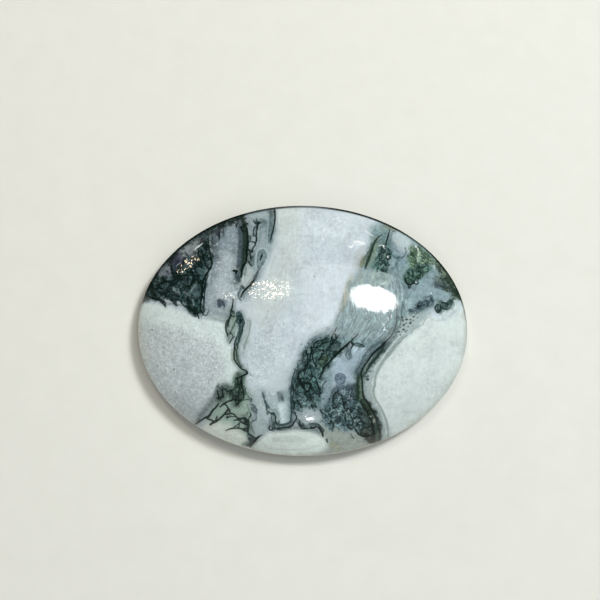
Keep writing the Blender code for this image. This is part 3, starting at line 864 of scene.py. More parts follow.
    Line([(217.4, 390), (218, 394), (219, 397), (218, 399.4)], (1.3, 1.9, 2.0, 1.2), 0.95),
    Line([(221.6, 389.6), (222.6, 393.4), (223.4, 396.8)], (1.3, 1.7, 1.8), 0.93),
    Line([(219, 397.4), (223, 397.4)], (1.6, 1.5), 0.92),
    Line([(220.6, 398), (220.6, 400)], (1.2, 0.9), 0.85),
    Line([(222, 390), (225.6, 389.4), (227.6, 391.4), (231, 390)], (1.4, 1.7, 1.6, 1.2), 0.88,
         srgb(20, 40, 36)),
    Line([(222, 386), (223.6, 388)], (1.6, 1.4), 0.65, srgb(40, 60, 58)),
    Line([(218.4, 403.6), (216, 407.2), (213, 410.2), (210.6, 413.6), (209, 416)],
         (1.5, 1.9, 2.1, 2.5), 0.97),
    Line([(209, 416), (206, 417.3), (203, 419), (199.5, 421.5), (195, 424.5)], (2.2, 1.9, 1.8, 1.2), 0.95),
    Line([(240.4, 401), (236, 399.8), (232, 400), (228, 401.6), (224, 403.6), (220, 407)],
         (0.9, 1.7, 2.1, 1.8, 1.9, 1.0), 0.95),
    Line([(242.6, 400.4), (246, 399.5), (249.6, 399.8)], (0.9, 1.0), 0.7),
    Line([(224.8, 404.4), (227.4, 406.8), (228.2, 409), (226, 412.2), (222.4, 416.2), (219, 419.4),
          (216, 421.8), (213.8, 423)], (1.4, 2.0, 1.8, 1.8, 1.4), 0.95),
    Line([(217, 416.6), (215.6, 419.8), (214.6, 421)], (1.3, 1.3), 0.85),
    Line([(206.5, 417.6), (209, 419.4), (212.6, 420.6), (213, 422), (210.6, 424.5)],
         (1.4, 1.4, 1.6, 2.1), 0.95),
    # Fine twigs in the pale green
    Line([(229.6, 409.6), (230, 412)], (1.7, 1.4), 0.9),
    Line([(226, 414.6), (230, 413.6), (233, 413.6), (235, 415), (236.2, 417), (238.4, 418.5), (242, 418.6),
          (245, 418), (247, 421)], (1.4, 1.7, 1.3, 1.6, 2.0, 2.0, 1.5), 0.93),
    Line([(227, 417.6), (231, 416.5), (236, 416.6)], (1.9, 1.2, 1.0), 0.9),
    Line([(234, 420.5), (237, 420), (240, 421), (243, 423), (246, 424.6)], (1.0, 1.5, 1.6, 1.9), 0.92),
    Line([(244, 417.6), (245.2, 421), (247, 424), (248, 427)], (1.3, 2.0, 2.0, 1.6), 0.9),
    Line([(226, 430.6), (230, 428.9), (234, 428.3), (238, 428.3), (241.6, 429), (244, 430.6), (247, 431.3)],
         (0.9, 1.6, 1.4, 1.5, 1.7), 0.93),
    Line([(232.4, 428), (236, 425.5), (239.6, 423)], (0.9, 1.2, 0.9), 0.82),
    Line([(239.8, 423), (239, 426.4), (237, 427.8)], (0.9, 1.0, 0.7), 0.75),
    Line([(244.4, 428.5), (247, 428)], (2.0, 1.5), 0.9),
    Line([(245, 389), (246, 393), (248.4, 396.4), (250.4, 398.4)], (1.3, 1.2, 0.9), 0.7, srgb(52, 76, 68)),
    Line([(251.4, 398.8), (251.2, 400.6), (250.2, 402.8)], (1.8, 1.9, 0.8), 0.85, srgb(32, 52, 50)),
    Line([(250.4, 412.8), (251, 415.4), (249.8, 416.6), (249, 418.2)], (1.2, 1.4, 1.8, 1.0), 0.88,
         srgb(30, 54, 44)),
    Line([(248, 420), (248.5, 426), (247.8, 431), (248.5, 434.4)], (2.0, 2.4, 2.1, 1.4), 0.93,
         srgb(18, 40, 36)),
    Line([(250, 434.3), (253, 436.6), (256, 438.2), (258, 436.8)], (1.5, 1.7, 1.4), 0.92),
    Line([(262, 435), (259, 436.6), (256, 439.6), (253, 443), (250.2, 446.6)], (1.1, 2.1, 2.2, 1.6), 0.95),
    Line([(249, 438.2), (250.4, 440.8), (249.5, 444), (246.6, 446)], (2.6, 2.0, 1.4), 0.85,
         srgb(34, 56, 50)),
    Line([(251.2, 423), (251.6, 427), (253, 431), (254.4, 433.6)], (1.4, 1.3, 1.0), 0.65,
         srgb(88, 112, 102)),
    Line([(250.6, 437.6), (253, 439.2), (255.6, 438.4)], (0.9, 1.1), 0.8, srgb(34, 56, 48)),
    Line([(250, 440.4), (252.6, 441.8), (254, 441.6)], (0.9, 1.2), 0.85, srgb(20, 42, 34)),
    # The angular vein around the white tongue
    Line([(262.3, 392.6), (263.6, 396.8), (264.4, 399.4)], (1.2, 2.4, 1.2), 0.75, srgb(56, 76, 78)),
    Line([(264.8, 400.4), (265.4, 402.6), (266.6, 404.4), (268, 406), (269.6, 408.2)],
         (1.9, 2.3, 1.9, 2.0, 0.8), 0.78, srgb(52, 74, 76)),
    Line([(266.3, 406.4), (266.6, 409), (267.1, 411.4), (267.2, 413.8)], (1.5, 1.5, 1.0, 1.7), 0.85,
         srgb(34, 60, 54)),
    Line([(268.4, 411.2), (269.6, 412.6), (270.6, 413)], (1.0, 1.8, 0.8), 0.82, srgb(36, 60, 54)),
    Line([(271.4, 413.6), (273.6, 413.4), (274.9, 415.2), (275.7, 417.4), (275.1, 419.6), (275.4, 421.6),
          (276.7, 423.4)], (2.3, 2.1, 1.7, 1.5, 2.0), 0.93, srgb(10, 36, 30)),
    Line([(271.9, 414.4), (271.5, 417), (271.9, 420.6)], (1.4, 1.2, 1.5), 0.7, srgb(54, 80, 72)),
    Line([(272.8, 422.2), (274.6, 423), (275, 424.4), (273.4, 425.2), (272.5, 424), (272.8, 422.2)],
         (1.2, 1.2), 0.82, srgb(32, 58, 52)),
    Line([(268.8, 421.4), (269.8, 423.4), (270.4, 425.4)], (1.0, 1.1), 0.5, srgb(84, 106, 98)),
    Line([(279, 421.6), (277.8, 423.6), (277.8, 425)], (1.6, 1.9, 1.7), 0.8, srgb(34, 60, 58)),
    Line([(278.4, 424.6), (282, 424.9), (286, 424), (289, 422.8), (291, 421.4)], (1.7, 2.5, 2.4, 2.2), 0.82,
         srgb(38, 60, 62)),
    Line([(280.4, 426.2), (284, 426.2), (288, 425.6)], (0.8, 0.8), 0.5, srgb(104, 124, 124)),
    Line([(290.5, 421), (291.3, 415), (291.3, 408), (290.8, 401), (291, 394), (291.6, 386), (293, 377),
          (295.5, 369)], (1.7, 1.5, 1.5, 1.7, 2.1, 1.7, 1.3), 0.8, srgb(34, 58, 60)),
    Line([(277, 427.8), (283, 427.7), (288, 427.2), (292.3, 425.3), (294.3, 422), (296, 419.5),
          (296.7, 416.5), (295.5, 415)], (1.3, 1.7, 1.9, 1.7, 1.5, 1.3), 0.95),
    Line([(270.2, 426), (269, 428), (270.2, 430), (272, 429.8), (272.8, 428), (271.6, 426.8)],
         (1.7, 1.5, 1.4, 0.9), 0.93),
    Line([(274.2, 426.4), (275, 428.4), (277, 429.5), (280.6, 429.8)], (1.4, 1.5, 1.2), 0.85,
         srgb(26, 50, 48)),
    Line([(280.6, 429.8), (287, 429.5)], (1.1, 0.8), 0.5, srgb(72, 92, 94)),
    Line([(272.4, 430.6), (273.6, 431.4)], (1.4, 1.1), 0.6, srgb(72, 92, 88)),
    Line([(296.4, 401.4), (298, 403.8), (299.8, 405.4)], (1.0, 1.3, 0.9), 0.88, srgb(30, 58, 52)),
    Line([(293.8, 401), (294.3, 405), (293.6, 409)], (1.9, 2.3, 1.3), 0.93),
    Line([(294, 412), (295.8, 413.4)], (1.8, 1.6), 0.88),
    Line([(293, 396), (292.5, 400), (290.8, 403)], (1.2, 1.2), 0.75),
    # Strands and knots of the moss left of the diagonal
    Line([(313.5, 347), (314.4, 344), (317, 341.6), (320, 340.2)], (1.5, 1.9, 1.2), 0.95),
    Line([(322.4, 340.2), (326, 338)], (1.7, 1.7), 0.95),
    Line([(319.6, 347), (322, 344), (325, 342.4), (328, 341.6), (331, 340.6)], (1.2, 1.7, 1.3, 0.9), 0.93),
    Line([(316.8, 347.6), (318, 347.2)], (2.0, 1.7), 0.93),
    Line([(313, 349.8), (316, 348.6)], (1.3, 0.9), 0.85),
    Line([(331.4, 337.6), (333.4, 334)], (1.4, 1.2), 0.92),
    Line([(335, 331), (336.7, 327.4)], (1.4, 1.1), 0.88, srgb(30, 52, 50)),
    Line([(335.3, 333.6), (335.8, 336.4), (336.7, 338.4)], (0.9, 1.2, 2.0), 0.92),
    Line([(339.4, 334.6), (338, 337)], (1.2, 1.1), 0.85),
    Line([(334.6, 340.4), (332, 342.2)], (1.3, 1.1), 0.9),
    Line([(329, 349), (330, 346), (332, 344), (334.6, 343.4)], (1.1, 1.3, 0.9), 0.85),
    Line([(320, 350.2), (324, 350.4), (323.6, 352.6)], (1.1, 1.6, 1.1), 0.9),
    Line([(311.4, 347.4), (311.6, 352), (310.2, 355), (310, 361)], (1.4, 2.0, 2.0, 1.6), 0.95),
    Line([(306.4, 351), (307.4, 356), (307.8, 362), (307, 367)], (1.1, 1.6, 1.4), 0.85),
    Line([(308.4, 341), (309, 344.6), (307.6, 348.6)], (1.0, 1.4, 1.0), 0.6, srgb(84, 100, 106)),
    Line([(313, 352), (312.8, 357), (313.4, 361), (316, 367)], (1.0, 1.3, 1.2), 0.88),
    Line([(304, 352), (303, 358), (302.4, 364)], (1.2, 1.2), 0.55),
    Line([(322, 354.6), (320.4, 358), (318.8, 359.8)], (1.4, 2.0, 1.6), 0.93, srgb(12, 30, 20)),
    Line([(326.6, 350), (327, 354)], (1.1, 0.9), 0.8),
    Line([(305, 366), (305.3, 370), (304, 375)], (1.5, 1.7, 1.2), 0.9),
    Line([(303, 369.5), (299.4, 372.5), (298.3, 376.6)], (1.5, 2.2, 1.8), 0.95),
    Line([(298.4, 378.6), (300, 381.4), (302.4, 385), (304.6, 389.5), (306, 393)],
         (3.2, 3.8, 2.8, 2.0, 1.6), 0.98),
    Line([(303, 384.6), (306, 383), (310.3, 383.6), (310.4, 387), (308, 391), (306.3, 393)],
         (2.0, 2.6, 2.8, 1.8, 1.4), 0.97),
    Line([(301, 379), (305, 378), (309, 379.5)], (1.0, 1.2), 0.8),
    Line([(311, 371), (312, 376), (310.3, 380)], (1.2, 1.3), 0.88),
    Line([(313, 376), (316, 378), (316, 381.5)], (1.3, 1.1), 0.85),
    Line([(317, 382), (319, 388), (320.3, 394)], (1.2, 1.8, 1.5), 0.93),
    Line([(312.6, 387.5), (314.3, 393)], (1.7, 1.3), 0.9),
    Line([(323, 367), (323, 371), (321, 374.5), (319.6, 378)], (1.7, 1.8, 1.5), 0.93),
    Line([(292, 383), (293, 388), (294, 393.5)], (1.7, 1.8, 1.2), 0.88),
    Line([(295.3, 389.5), (296, 394)], (1.5, 1.2), 0.85),
    Line([(295.6, 381), (297, 386)], (1.4, 1.2), 0.8),
    Line([(297, 401), (299, 404), (301.4, 406.4)], (1.3, 1.5), 0.9),
    Line([(310, 397), (312.3, 401.3)], (1.7, 1.5), 0.93),
    Line([(311, 405), (313, 408)], (1.6, 1.3), 0.88),
    Line([(315, 405), (317, 408)], (1.4, 1.2), 0.8),
    Line([(317.6, 393), (320.3, 397)], (1.5, 1.2), 0.85),
    Line([(304, 393.6), (306.6, 397), (307, 401)], (1.2, 1.2), 0.8),
    Line([(309, 392), (311.3, 395)], (1.2, 1.0), 0.75),
    # The diagonal itself, and the mark that hangs from it
    Line([(358, 334), (351, 341), (345, 346.6), (340, 351), (335.5, 355.3), (331.5, 359.6), (328, 363.5),
          (323, 368)], (0.6, 1.4, 2.2, 2.8, 3.0, 2.2, 1.7, 1.4), 0.96),
    Line([(333, 353), (336, 351.6), (338, 352.4)], (2.2, 2.0), 0.75, srgb(30, 44, 42)),
    Line([(326.5, 380.5), (323.5, 384), (322, 387.6)], (0.9, 1.1), 0.75),
    Line([(352.8, 343.4), (353.4, 344.8)], (2.4, 2.2), 0.93),
    Line([(352, 346), (351.4, 349)], (1.6, 1.0), 0.9),
    Line([(354, 343.6), (357, 343), (360, 343.8), (363, 345), (365, 346.5)], (1.0, 1.3, 1.2, 0.6), 0.8,
         srgb(30, 52, 50)),
    Line([(364.6, 346.8), (361.4, 347), (358, 346.2)], (0.7, 0.9, 0.6), 0.5, srgb(62, 84, 86)),
    Line([(346.8, 347.4), (347.4, 351), (346.4, 354.4)], (0.8, 1.3, 0.8), 0.6, srgb(62, 84, 88)),
    Line([(349.8, 346.8), (350.4, 351), (349.4, 355.6)], (0.9, 1.4, 0.9), 0.65, srgb(56, 78, 82)),
    # Dark strokes in the mottled ground
    Line([(339, 390), (335.4, 393.4), (333.4, 396.4), (333, 401), (335, 404.3)], (1.5, 1.8, 1.5), 0.85),
    Line([(338, 393.4), (340.3, 395)], (1.2, 1.0), 0.7),
    Line([(341.3, 395), (342.4, 399), (343.2, 403), (344.4, 408)], (1.4, 1.7, 1.5), 0.88),
    Line([(345.2, 402.3), (345.7, 402.8)], (2.6, 2.6), 0.92),
    Line([(333, 403.6), (332.7, 407), (335, 408.6), (336.4, 406)], (1.3, 1.4, 1.1), 0.85),
    Line([(343.6, 412), (346, 410.4), (347.4, 409)], (2.0, 2.0), 0.9),
    Line([(345, 413.6), (345.2, 418), (346.2, 421)], (1.3, 1.5), 0.85),
    Line([(350.3, 407.5), (351.2, 412), (350, 415)], (1.3, 1.4), 0.8),
    Line([(357.6, 409.6), (359.8, 413)], (1.5, 1.3), 0.8),
    Line([(361.3, 413.6), (361.8, 414.1)], (2.8, 2.8), 0.9),
    Line([(352, 418), (353.2, 422), (352, 426)], (1.5, 1.6), 0.88),
    Line([(354.4, 418.4), (357, 416.4), (360, 418)], (1.3, 1.4), 0.85),
    Line([(353, 428), (357, 425.6), (358.3, 423.6), (356, 422.6)], (1.3, 1.3), 0.85),
    Line([(347, 425), (349, 428), (351.6, 429.4)], (1.5, 1.5), 0.88),
    Line([(360.6, 420), (363, 422), (365.2, 423.6)], (1.3, 1.9), 0.9),
    Line([(331, 421), (333, 424), (333.3, 426.4)], (1.8, 1.9), 0.92),
    Line([(334, 418), (337, 416.8), (339, 418.8), (338, 422)], (1.2, 1.4), 0.75, srgb(44, 64, 70)),
    Line([(320, 409.6), (322.6, 413.4)], (1.7, 1.4), 0.9),
    Line([(326, 411), (328.6, 413), (327, 416)], (1.1, 1.1), 0.7),
    Line([(329, 416), (331.4, 418)], (1.2, 1.0), 0.7),
    Line([(326, 420), (328.3, 423), (331, 423)], (1.2, 1.1), 0.7),
    Line([(356.4, 383), (353, 386), (350.4, 388)], (1.0, 1.6, 1.0), 0.6, srgb(62, 76, 90)),
    Line([(346.4, 388), (349, 390.4), (352, 390.6)], (1.0, 1.2), 0.55, srgb(62, 76, 90)),
    Line([(346, 398), (349.4, 401)], (1.0, 1.2), 0.6),
    # The right-hand vein: from the top
    Line([(396.5, 304), (396.6, 314), (396.4, 323), (394, 331), (391, 336)], (0.8, 1.4, 1.7, 2.0), 0.72,
         srgb(44, 66, 68)),
    Line([(391, 336), (386, 341), (382, 345.6), (378, 349.2), (374, 352.6), (371, 356.5), (368, 361),
          (364.5, 366), (362, 370), (361, 374)], (1.4, 1.8, 2.0, 1.7, 1.6, 1.9), 0.97, srgb(8, 26, 24)),
    Line([(402, 302), (402.8, 306), (401.6, 312), (400.6, 322), (396, 333)], (0.8, 0.9, 1.0), 0.6,
         srgb(52, 74, 76)),
    Line([(393, 327), (386, 336.6), (379, 342.6), (371, 347.4), (366, 353.4), (362, 361), (358.2, 369),
          (357.2, 376)], (0.8, 1.0, 1.2, 1.5, 1.3), 0.7, srgb(66, 86, 92)),
    Line([(382, 339), (375, 344.6), (367.6, 351), (362, 357)], (0.7, 0.9), 0.45, srgb(78, 100, 104)),
    Line([(374, 349.8), (369, 355.4), (365, 362), (361, 368.6)], (0.9, 0.9), 0.55, srgb(60, 80, 84)),
    Line([(385, 343), (383, 348), (380, 353), (376.4, 357.4), (372.4, 361.6), (369, 367), (366, 373.4)],
         (1.0, 1.6, 1.9, 1.7, 1.5, 1.2), 0.82, srgb(26, 44, 38)),
    Line([(381, 348.2), (385.4, 351)], (1.7, 0.9), 0.8, srgb(36, 54, 48)),
    Line([(378.6, 353.6), (382.6, 352.2)], (1.9, 1.2), 0.75, srgb(36, 54, 48)),
    Line([(376, 358.4), (378.6, 357.6)], (1.8, 1.0), 0.7, srgb(36, 54, 48)),
    Line([(373.4, 362.4), (375.6, 363.4)], (1.8, 1.0), 0.7, srgb(36, 54, 48)),
    Line([(361, 374), (362, 381), (362.4, 387), (362.7, 392), (363.8, 397), (367.4, 402), (369.6, 406),
          (373, 412), (375.2, 416.6), (376.6, 421)],
         (1.8, 1.7, 1.6, 1.8, 1.9, 2.0, 1.7), 0.95, srgb(10, 28, 20)),
    Line([(357.8, 378), (357.4, 386), (358.4, 392), (357.4, 399)], (1.2, 1.4, 1.8, 2.4), 0.75,
         srgb(26, 48, 34)),
    Line([(357.6, 397.6), (358, 398.4)], (1.3, 1.2), 0.8, srgb(112, 138, 126)),
    Line([(363.4, 374), (366, 377.3)], (1.2, 0.9), 0.7, srgb(40, 60, 48)),
    Line([(360.4, 401.6), (363, 406), (366, 410), (368.4, 414.4), (371.4, 420.4)], (1.7, 2.2, 2.4, 2.0),
         0.95, srgb(10, 24, 16)),
    Line([(372, 420), (372.6, 426), (373.5, 432), (374, 438), (373.4, 442)], (2.0, 2.1, 2.2, 1.8), 0.95,
         srgb(12, 20, 16)),
    Line([(375, 424.6), (376.4, 432), (376, 439.6)], (0.9, 1.1), 0.7, srgb(44, 60, 52)),
    Line([(377.4, 424), (379, 429), (380.2, 433), (379.8, 437), (380.4, 441)], (1.4, 1.6, 1.5), 0.9,
         srgb(30, 44, 36)),
    Line([(372.2, 422.6), (370.6, 425.4), (368, 427.5), (363, 427.8)], (1.5, 1.6, 1.1), 0.92),
    Line([(361.9, 428.4), (361.5, 432), (361.6, 435)], (1.4, 1.2), 0.85),
    Line([(356, 430.6), (358.4, 433.8), (361, 435.6), (365, 436.5), (369, 435.6), (372.4, 436)],
         (1.7, 1.9, 1.9, 1.5), 0.95),
    Line([(364, 433.4), (368, 433.2)], (1.1, 1.0), 0.88),
    Line([(366, 438.4), (369.6, 440), (372.6, 438.6)], (1.2, 1.5), 0.8, srgb(30, 34, 26)),
    Line([(369, 442.6), (372.4, 441)], (1.5, 1.4), 0.8, srgb(30, 34, 26)),
    Line([(378.4, 420), (381.4, 423)], (1.3, 0.9), 0.8),
    Line([(376.4, 411), (377.6, 413.6)], (1.3, 0.9), 0.7),
    Line([(377.4, 417), (379.2, 419)], (1.3, 0.9), 0.7),
    Line([(368.4, 404.6), (371.4, 406.6)], (1.3, 0.9), 0.7),
    # Painted highlights: two small pale glints in the foot of the vein
    Line([(368.2, 414.6), (370.6, 416.4)], (0.9, 0.8), 0.75, srgb(172, 188, 176)),
    Line([(372.8, 419.8), (375, 421.6)], (0.9, 0.8), 0.75, srgb(188, 200, 192)),
    # The top right corner
    Line([(382, 234.6), (378, 237.6), (375.2, 241), (373, 246), (371.2, 252), (369, 258), (366.6, 264),
          (365.2, 269)], (0.9, 1.4, 1.9, 2.2, 2.6, 3.0, 2.4, 1.2), 0.88, srgb(26, 44, 34)),
    Line([(371.4, 243), (370, 249), (367, 254), (364.6, 258)], (1.0, 1.3, 1.1), 0.55, srgb(70, 86, 84)),
    Line([(389.6, 230), (388.2, 236), (386.4, 241), (385.7, 245)], (1.3, 1.4, 1.1), 0.9),
    Line([(393, 231), (394.6, 231.4)], (1.4, 1.2), 0.7, srgb(60, 78, 72)),
    Line([(390, 255), (388.4, 253.8), (386.2, 255.4), (386.4, 258.4), (388.6, 259.2), (390.2, 257.6)],
         (1.3, 1.5), 0.93),
    Line([(389.6, 252), (392.6, 255.6), (395.6, 258), (398, 258)], (0.9, 1.2), 0.75, srgb(52, 76, 84)),
    Line([(390.6, 268.6), (394.6, 267.6), (396.6, 263)], (0.8, 1.0), 0.6, srgb(70, 94, 100)),
    Line([(405.4, 248), (406.2, 252), (404, 256), (401, 258), (398, 256.4), (397, 259.4), (400, 260.6)],
         (1.1, 1.3, 1.3, 1.1), 0.62, srgb(66, 90, 96)),
    Line([(413, 253), (414.6, 257), (416.2, 260.6), (417, 264)], (1.0, 1.4, 1.1), 0.75, srgb(46, 74, 58)),
    Line([(419, 266.4), (421.4, 268), (424, 267), (426.6, 265)], (1.3, 1.5, 1.2), 0.85),
    Line([(407, 272), (409.4, 274.6), (408, 278)], (0.9, 1.0), 0.7),
    Line([(410.6, 279), (413, 281), (416, 279.4)], (0.9, 1.1), 0.7),
    Line([(421.6, 257), (424, 258.6), (425.6, 257)], (1.1, 1.3), 0.7, srgb(46, 70, 52)),
    Line([(427, 259.4), (430.4, 260.6)], (1.3, 1.1), 0.7, srgb(46, 70, 52)),
    Line([(420, 251), (422, 253.4)], (1.0, 1.2), 0.65, srgb(56, 82, 62)),
    Line([(405.4, 278), (405.8, 281.6), (408, 284.4), (411.4, 284.4), (413.4, 282.4)],
         (1.6, 1.9, 1.9, 1.4), 0.93),
    Line([(408.4, 286.4), (409, 288.6), (411, 286.6)], (1.3, 1.0), 0.85),
    Line([(414.4, 281), (414.6, 283.4), (417, 284.2), (418.4, 282.4)], (1.2, 1.4, 1.2), 0.85),
    Line([(412, 270), (413.4, 273), (412.4, 276.4)], (1.3, 1.2), 0.85),
    Line([(418, 271), (421, 272.4), (420.4, 275)], (1.4, 1.2), 0.85),
    Line([(417, 277), (420, 278)], (1.2, 1.0), 0.8),
    Line([(438, 267), (440.6, 270), (442, 273)], (1.4, 1.2), 0.75, srgb(46, 62, 58)),
    Line([(440.6, 286.6), (446, 287.4), (450, 289.6), (453.6, 293)], (1.1, 1.5, 1.6), 0.7,
         srgb(40, 58, 58)),
    Line([(452, 295), (456.6, 296.4), (460.4, 298.8)], (1.4, 1.8, 1.4), 0.75, srgb(38, 54, 48)),
    Line([(438.6, 304.2), (435.6, 306), (435.4, 309.6), (438, 312.8)], (1.3, 1.6, 1.6, 1.3), 0.9,
         srgb(22, 40, 44)),
    Line([(440.6, 305.4), (440.8, 309), (439.6, 311)], (1.5, 1.4), 0.8),
    Line([(442, 303), (445, 302.8), (447.4, 305)], (1.7, 2.0, 1.2), 0.85, srgb(18, 42, 42)),
    Line([(444, 308.6), (446.6, 309.4)], (1.6, 1.5), 0.8, srgb(18, 42, 40)),
    Line([(449.4, 301), (451.6, 303.6), (450.8, 306.4)], (1.2, 1.4, 0.9), 0.65, srgb(46, 72, 62)),
    Line([(430.6, 298), (432.6, 301)], (1.8, 1.6), 0.75, srgb(36, 52, 62)),
    Line([(426.4, 300.6), (428.6, 303), (426.6, 305)], (2.0, 2.0), 0.75, srgb(42, 58, 70)),
    Line([(424, 304.6), (420, 306.6), (417.6, 308)], (1.4, 1.6, 1.4), 0.75, srgb(34, 56, 60)),
    Line([(417.6, 306), (419.6, 307)], (2.0, 1.8), 0.85),
    Line([(428.4, 306.4), (422, 310.4), (416.6, 313.4)], (1.0, 1.4, 1.5), 0.55, srgb(76, 98, 96)),
    Line([(415.4, 308), (411.4, 310.6)], (1.1, 0.9), 0.5, srgb(70, 94, 94)),
    # The arch over the white oval at the foot
    Line([(298.5, 423.5), (300, 426), (302, 428.5)], (1.5, 1.8, 1.3), 0.93),
    Line([(303.5, 428.6), (308, 428.3)], (1.5, 1.3), 0.93),
    Line([(299.5, 421), (300.5, 424.5), (303.5, 426)], (1.2, 1.2), 0.8),
    Line([(303, 423.5), (305, 427)], (1.3, 1.1), 0.7, srgb(48, 68, 68)),
    Line([(311, 427.8), (313.5, 427.8), (315.5, 427)], (2.3, 1.9), 0.97),
    Line([(310, 424), (315, 424), (319, 425), (321.5, 428), (324, 431)], (1.2, 1.4, 1.4, 1.1), 0.72,
         srgb(36, 60, 60)),
    Line([(318, 427.5), (320.3, 430), (322.2, 433), (323, 436)], (1.5, 1.7, 1.9), 0.96),
    Line([(326.5, 439.5), (327.3, 442)], (2.4, 1.9), 0.85, srgb(66, 74, 78)),
    Line([(351.5, 434), (352.3, 437), (353.7, 438.3)], (0.9, 1.1, 1.6), 0.6, srgb(60, 74, 72)),
]

# Single dark specks: x, y, radius, darkness
SPECKS = [
    (402.4, 317.5, 1.2, 0.9), (403, 320.5, 1.1, 0.8), (406.6, 319.4, 1.2, 0.9), (410.5, 319.6, 1.1, 0.85),
    (413.5, 320.5, 0.9, 0.6), (413.6, 316.6, 1.1, 0.8), (417.5, 317.6, 0.8, 0.6), (410.4, 323, 1.4, 0.9),
    (406.4, 323.2, 0.8, 0.6), (403.8, 325, 1.4, 0.9), (408, 326.6, 0.9, 0.7), (412.6, 326, 0.8, 0.5),
    (403.4, 329.4, 1.4, 0.9), (406.8, 330.4, 0.8, 0.6), (399.2, 331.6, 1.1, 0.85), (405.4, 331.6, 0.9, 0.7),
    (400.4, 335, 0.9, 0.6), (396.6, 334.6, 0.8, 0.5), (400.2, 327.4, 0.7, 0.5), (416, 314.4, 0.8, 0.5),
    (370.4, 371.4, 1.1, 0.7), (368.2, 376, 1.1, 0.7), (367.6, 379.5, 1.5, 0.95), (372.4, 366.6, 0.9, 0.5),
    (152.2, 330.1, 0.9, 0.6), (173.7, 369.4, 1.0, 0.6), (275.5, 300.4, 0.8, 0.5), (314.2, 276.2, 0.9, 0.35),
    (329.6, 387.4, 0.8, 0.4), (347.4, 392.6, 0.8, 0.5), (289.4, 346.4, 0.8, 0.3),
    (445.4, 278.5, 1.2, 0.95), (448.2, 282.6, 1.4, 0.95), (451.2, 286.5, 1.1, 0.9),
    (454.6, 290.6, 1.3, 0.95),
    (442, 272.4, 0.8, 0.7), (378, 262, 1.0, 0.9), (381, 264.8, 1.1, 0.92), (378.4, 268.2, 1.0, 0.9),
    (383.4, 261, 0.9, 0.9), (385.2, 251.6, 1.1, 0.92), (388.6, 250.6, 0.9, 0.9), (382, 256.8, 1.0, 0.9),
    (385.8, 265.4, 1.1, 0.9), (381.4, 270.6, 1.0, 0.92), (377, 271.4, 0.8, 0.8), (386, 270.4, 0.9, 0.9),
    (384.4, 247.8, 0.8, 0.8), (380.4, 260, 0.7, 0.8), (387.6, 261.6, 0.8, 0.85), (376, 265.4, 0.8, 0.8),
    (197, 340.4, 0.8, 0.4), (163.6, 347.6, 0.8, 0.4), (206.4, 368.4, 0.8, 0.4), (181.4, 385.6, 0.8, 0.4),
]

# Painted highlights: small glints painted into the colour as bright strokes, from x, y to x, y, width
PAINTED_GLINTS = [
    (350.4, 247.2, 352.4, 246.2, 1.9), (355.2, 242.4, 357.2, 241.6, 2.2), (361.4, 243.9, 363.4, 242.8, 2.3),
    (358.2, 241.8, 360.2, 242.4, 1.9), (353.4, 241.4, 354.2, 241.2, 1.1), (356, 245.4, 357, 245.2, 1.0),
    (364.8, 244.4, 365.4, 244, 0.9), (348.6, 245, 349.2, 245.4, 0.8),
    (353.6, 244.4, 354.8, 244.2, 0.8), (358.6, 244.6, 360, 244.8, 0.8), (359.4, 240.6, 360.4, 241.4, 0.7),
    (333, 218.8, 334, 219, 1.0), (337.4, 218.2, 338.6, 217.8, 1.1), (339.4, 221, 341, 220.6, 1.0),
    (344.4, 222.6, 346, 222.2, 1.2), (324.4, 228, 324.4, 231, 0.9), (323.2, 229.6, 325.8, 229.4, 0.8),
    (323, 238.4, 323.2, 239.8, 1.1), (364.4, 230.4, 368, 232.6, 0.8), (368.6, 233, 372.6, 235.8, 0.7),
    (383.2, 245.6, 384.4, 248.2, 1.1), (379.4, 245.6, 382, 245.2, 0.8), (387.5, 256.4, 387.9, 256.9, 0.9),
    (415.8, 282.4, 416.3, 283, 0.9), (416, 245.6, 416, 246.8, 1.2), (418, 248.8, 418.2, 250, 1.1),
    (382.4, 323, 384.2, 326, 0.6), (384.5, 327, 384.3, 330, 0.5),
    (388, 317.6, 388.4, 320.4, 0.6), (391.6, 315, 391.8, 317.6, 0.5),
    (344.6, 286, 344.4, 293, 0.7), (353.2, 303.4, 353.4, 307, 0.5),
    (305.4, 416.4, 306.2, 415.8, 1.0), (307.6, 414.4, 308, 414.2, 0.8), (313.4, 416.4, 314, 416.8, 1.0),
    (314, 419.6, 314.6, 419.4, 0.9), (306.6, 419.4, 307.2, 420.2, 1.1), (311.6, 422.2, 312.2, 421.8, 0.8),
    (431, 292.8, 431.2, 293.8, 0.8), (222.6, 293.6, 224, 293.2, 1.1), (226.4, 297, 227.2, 296, 1.0),
    (229.6, 293.4, 231.4, 293.6, 1.0), (233.2, 297.4, 234.4, 296.8, 1.0), (228, 300, 229.2, 299.8, 0.9),
    (235, 292.6, 236, 292.2, 0.9), (224.6, 299.2, 225.4, 298.6, 0.8),
]

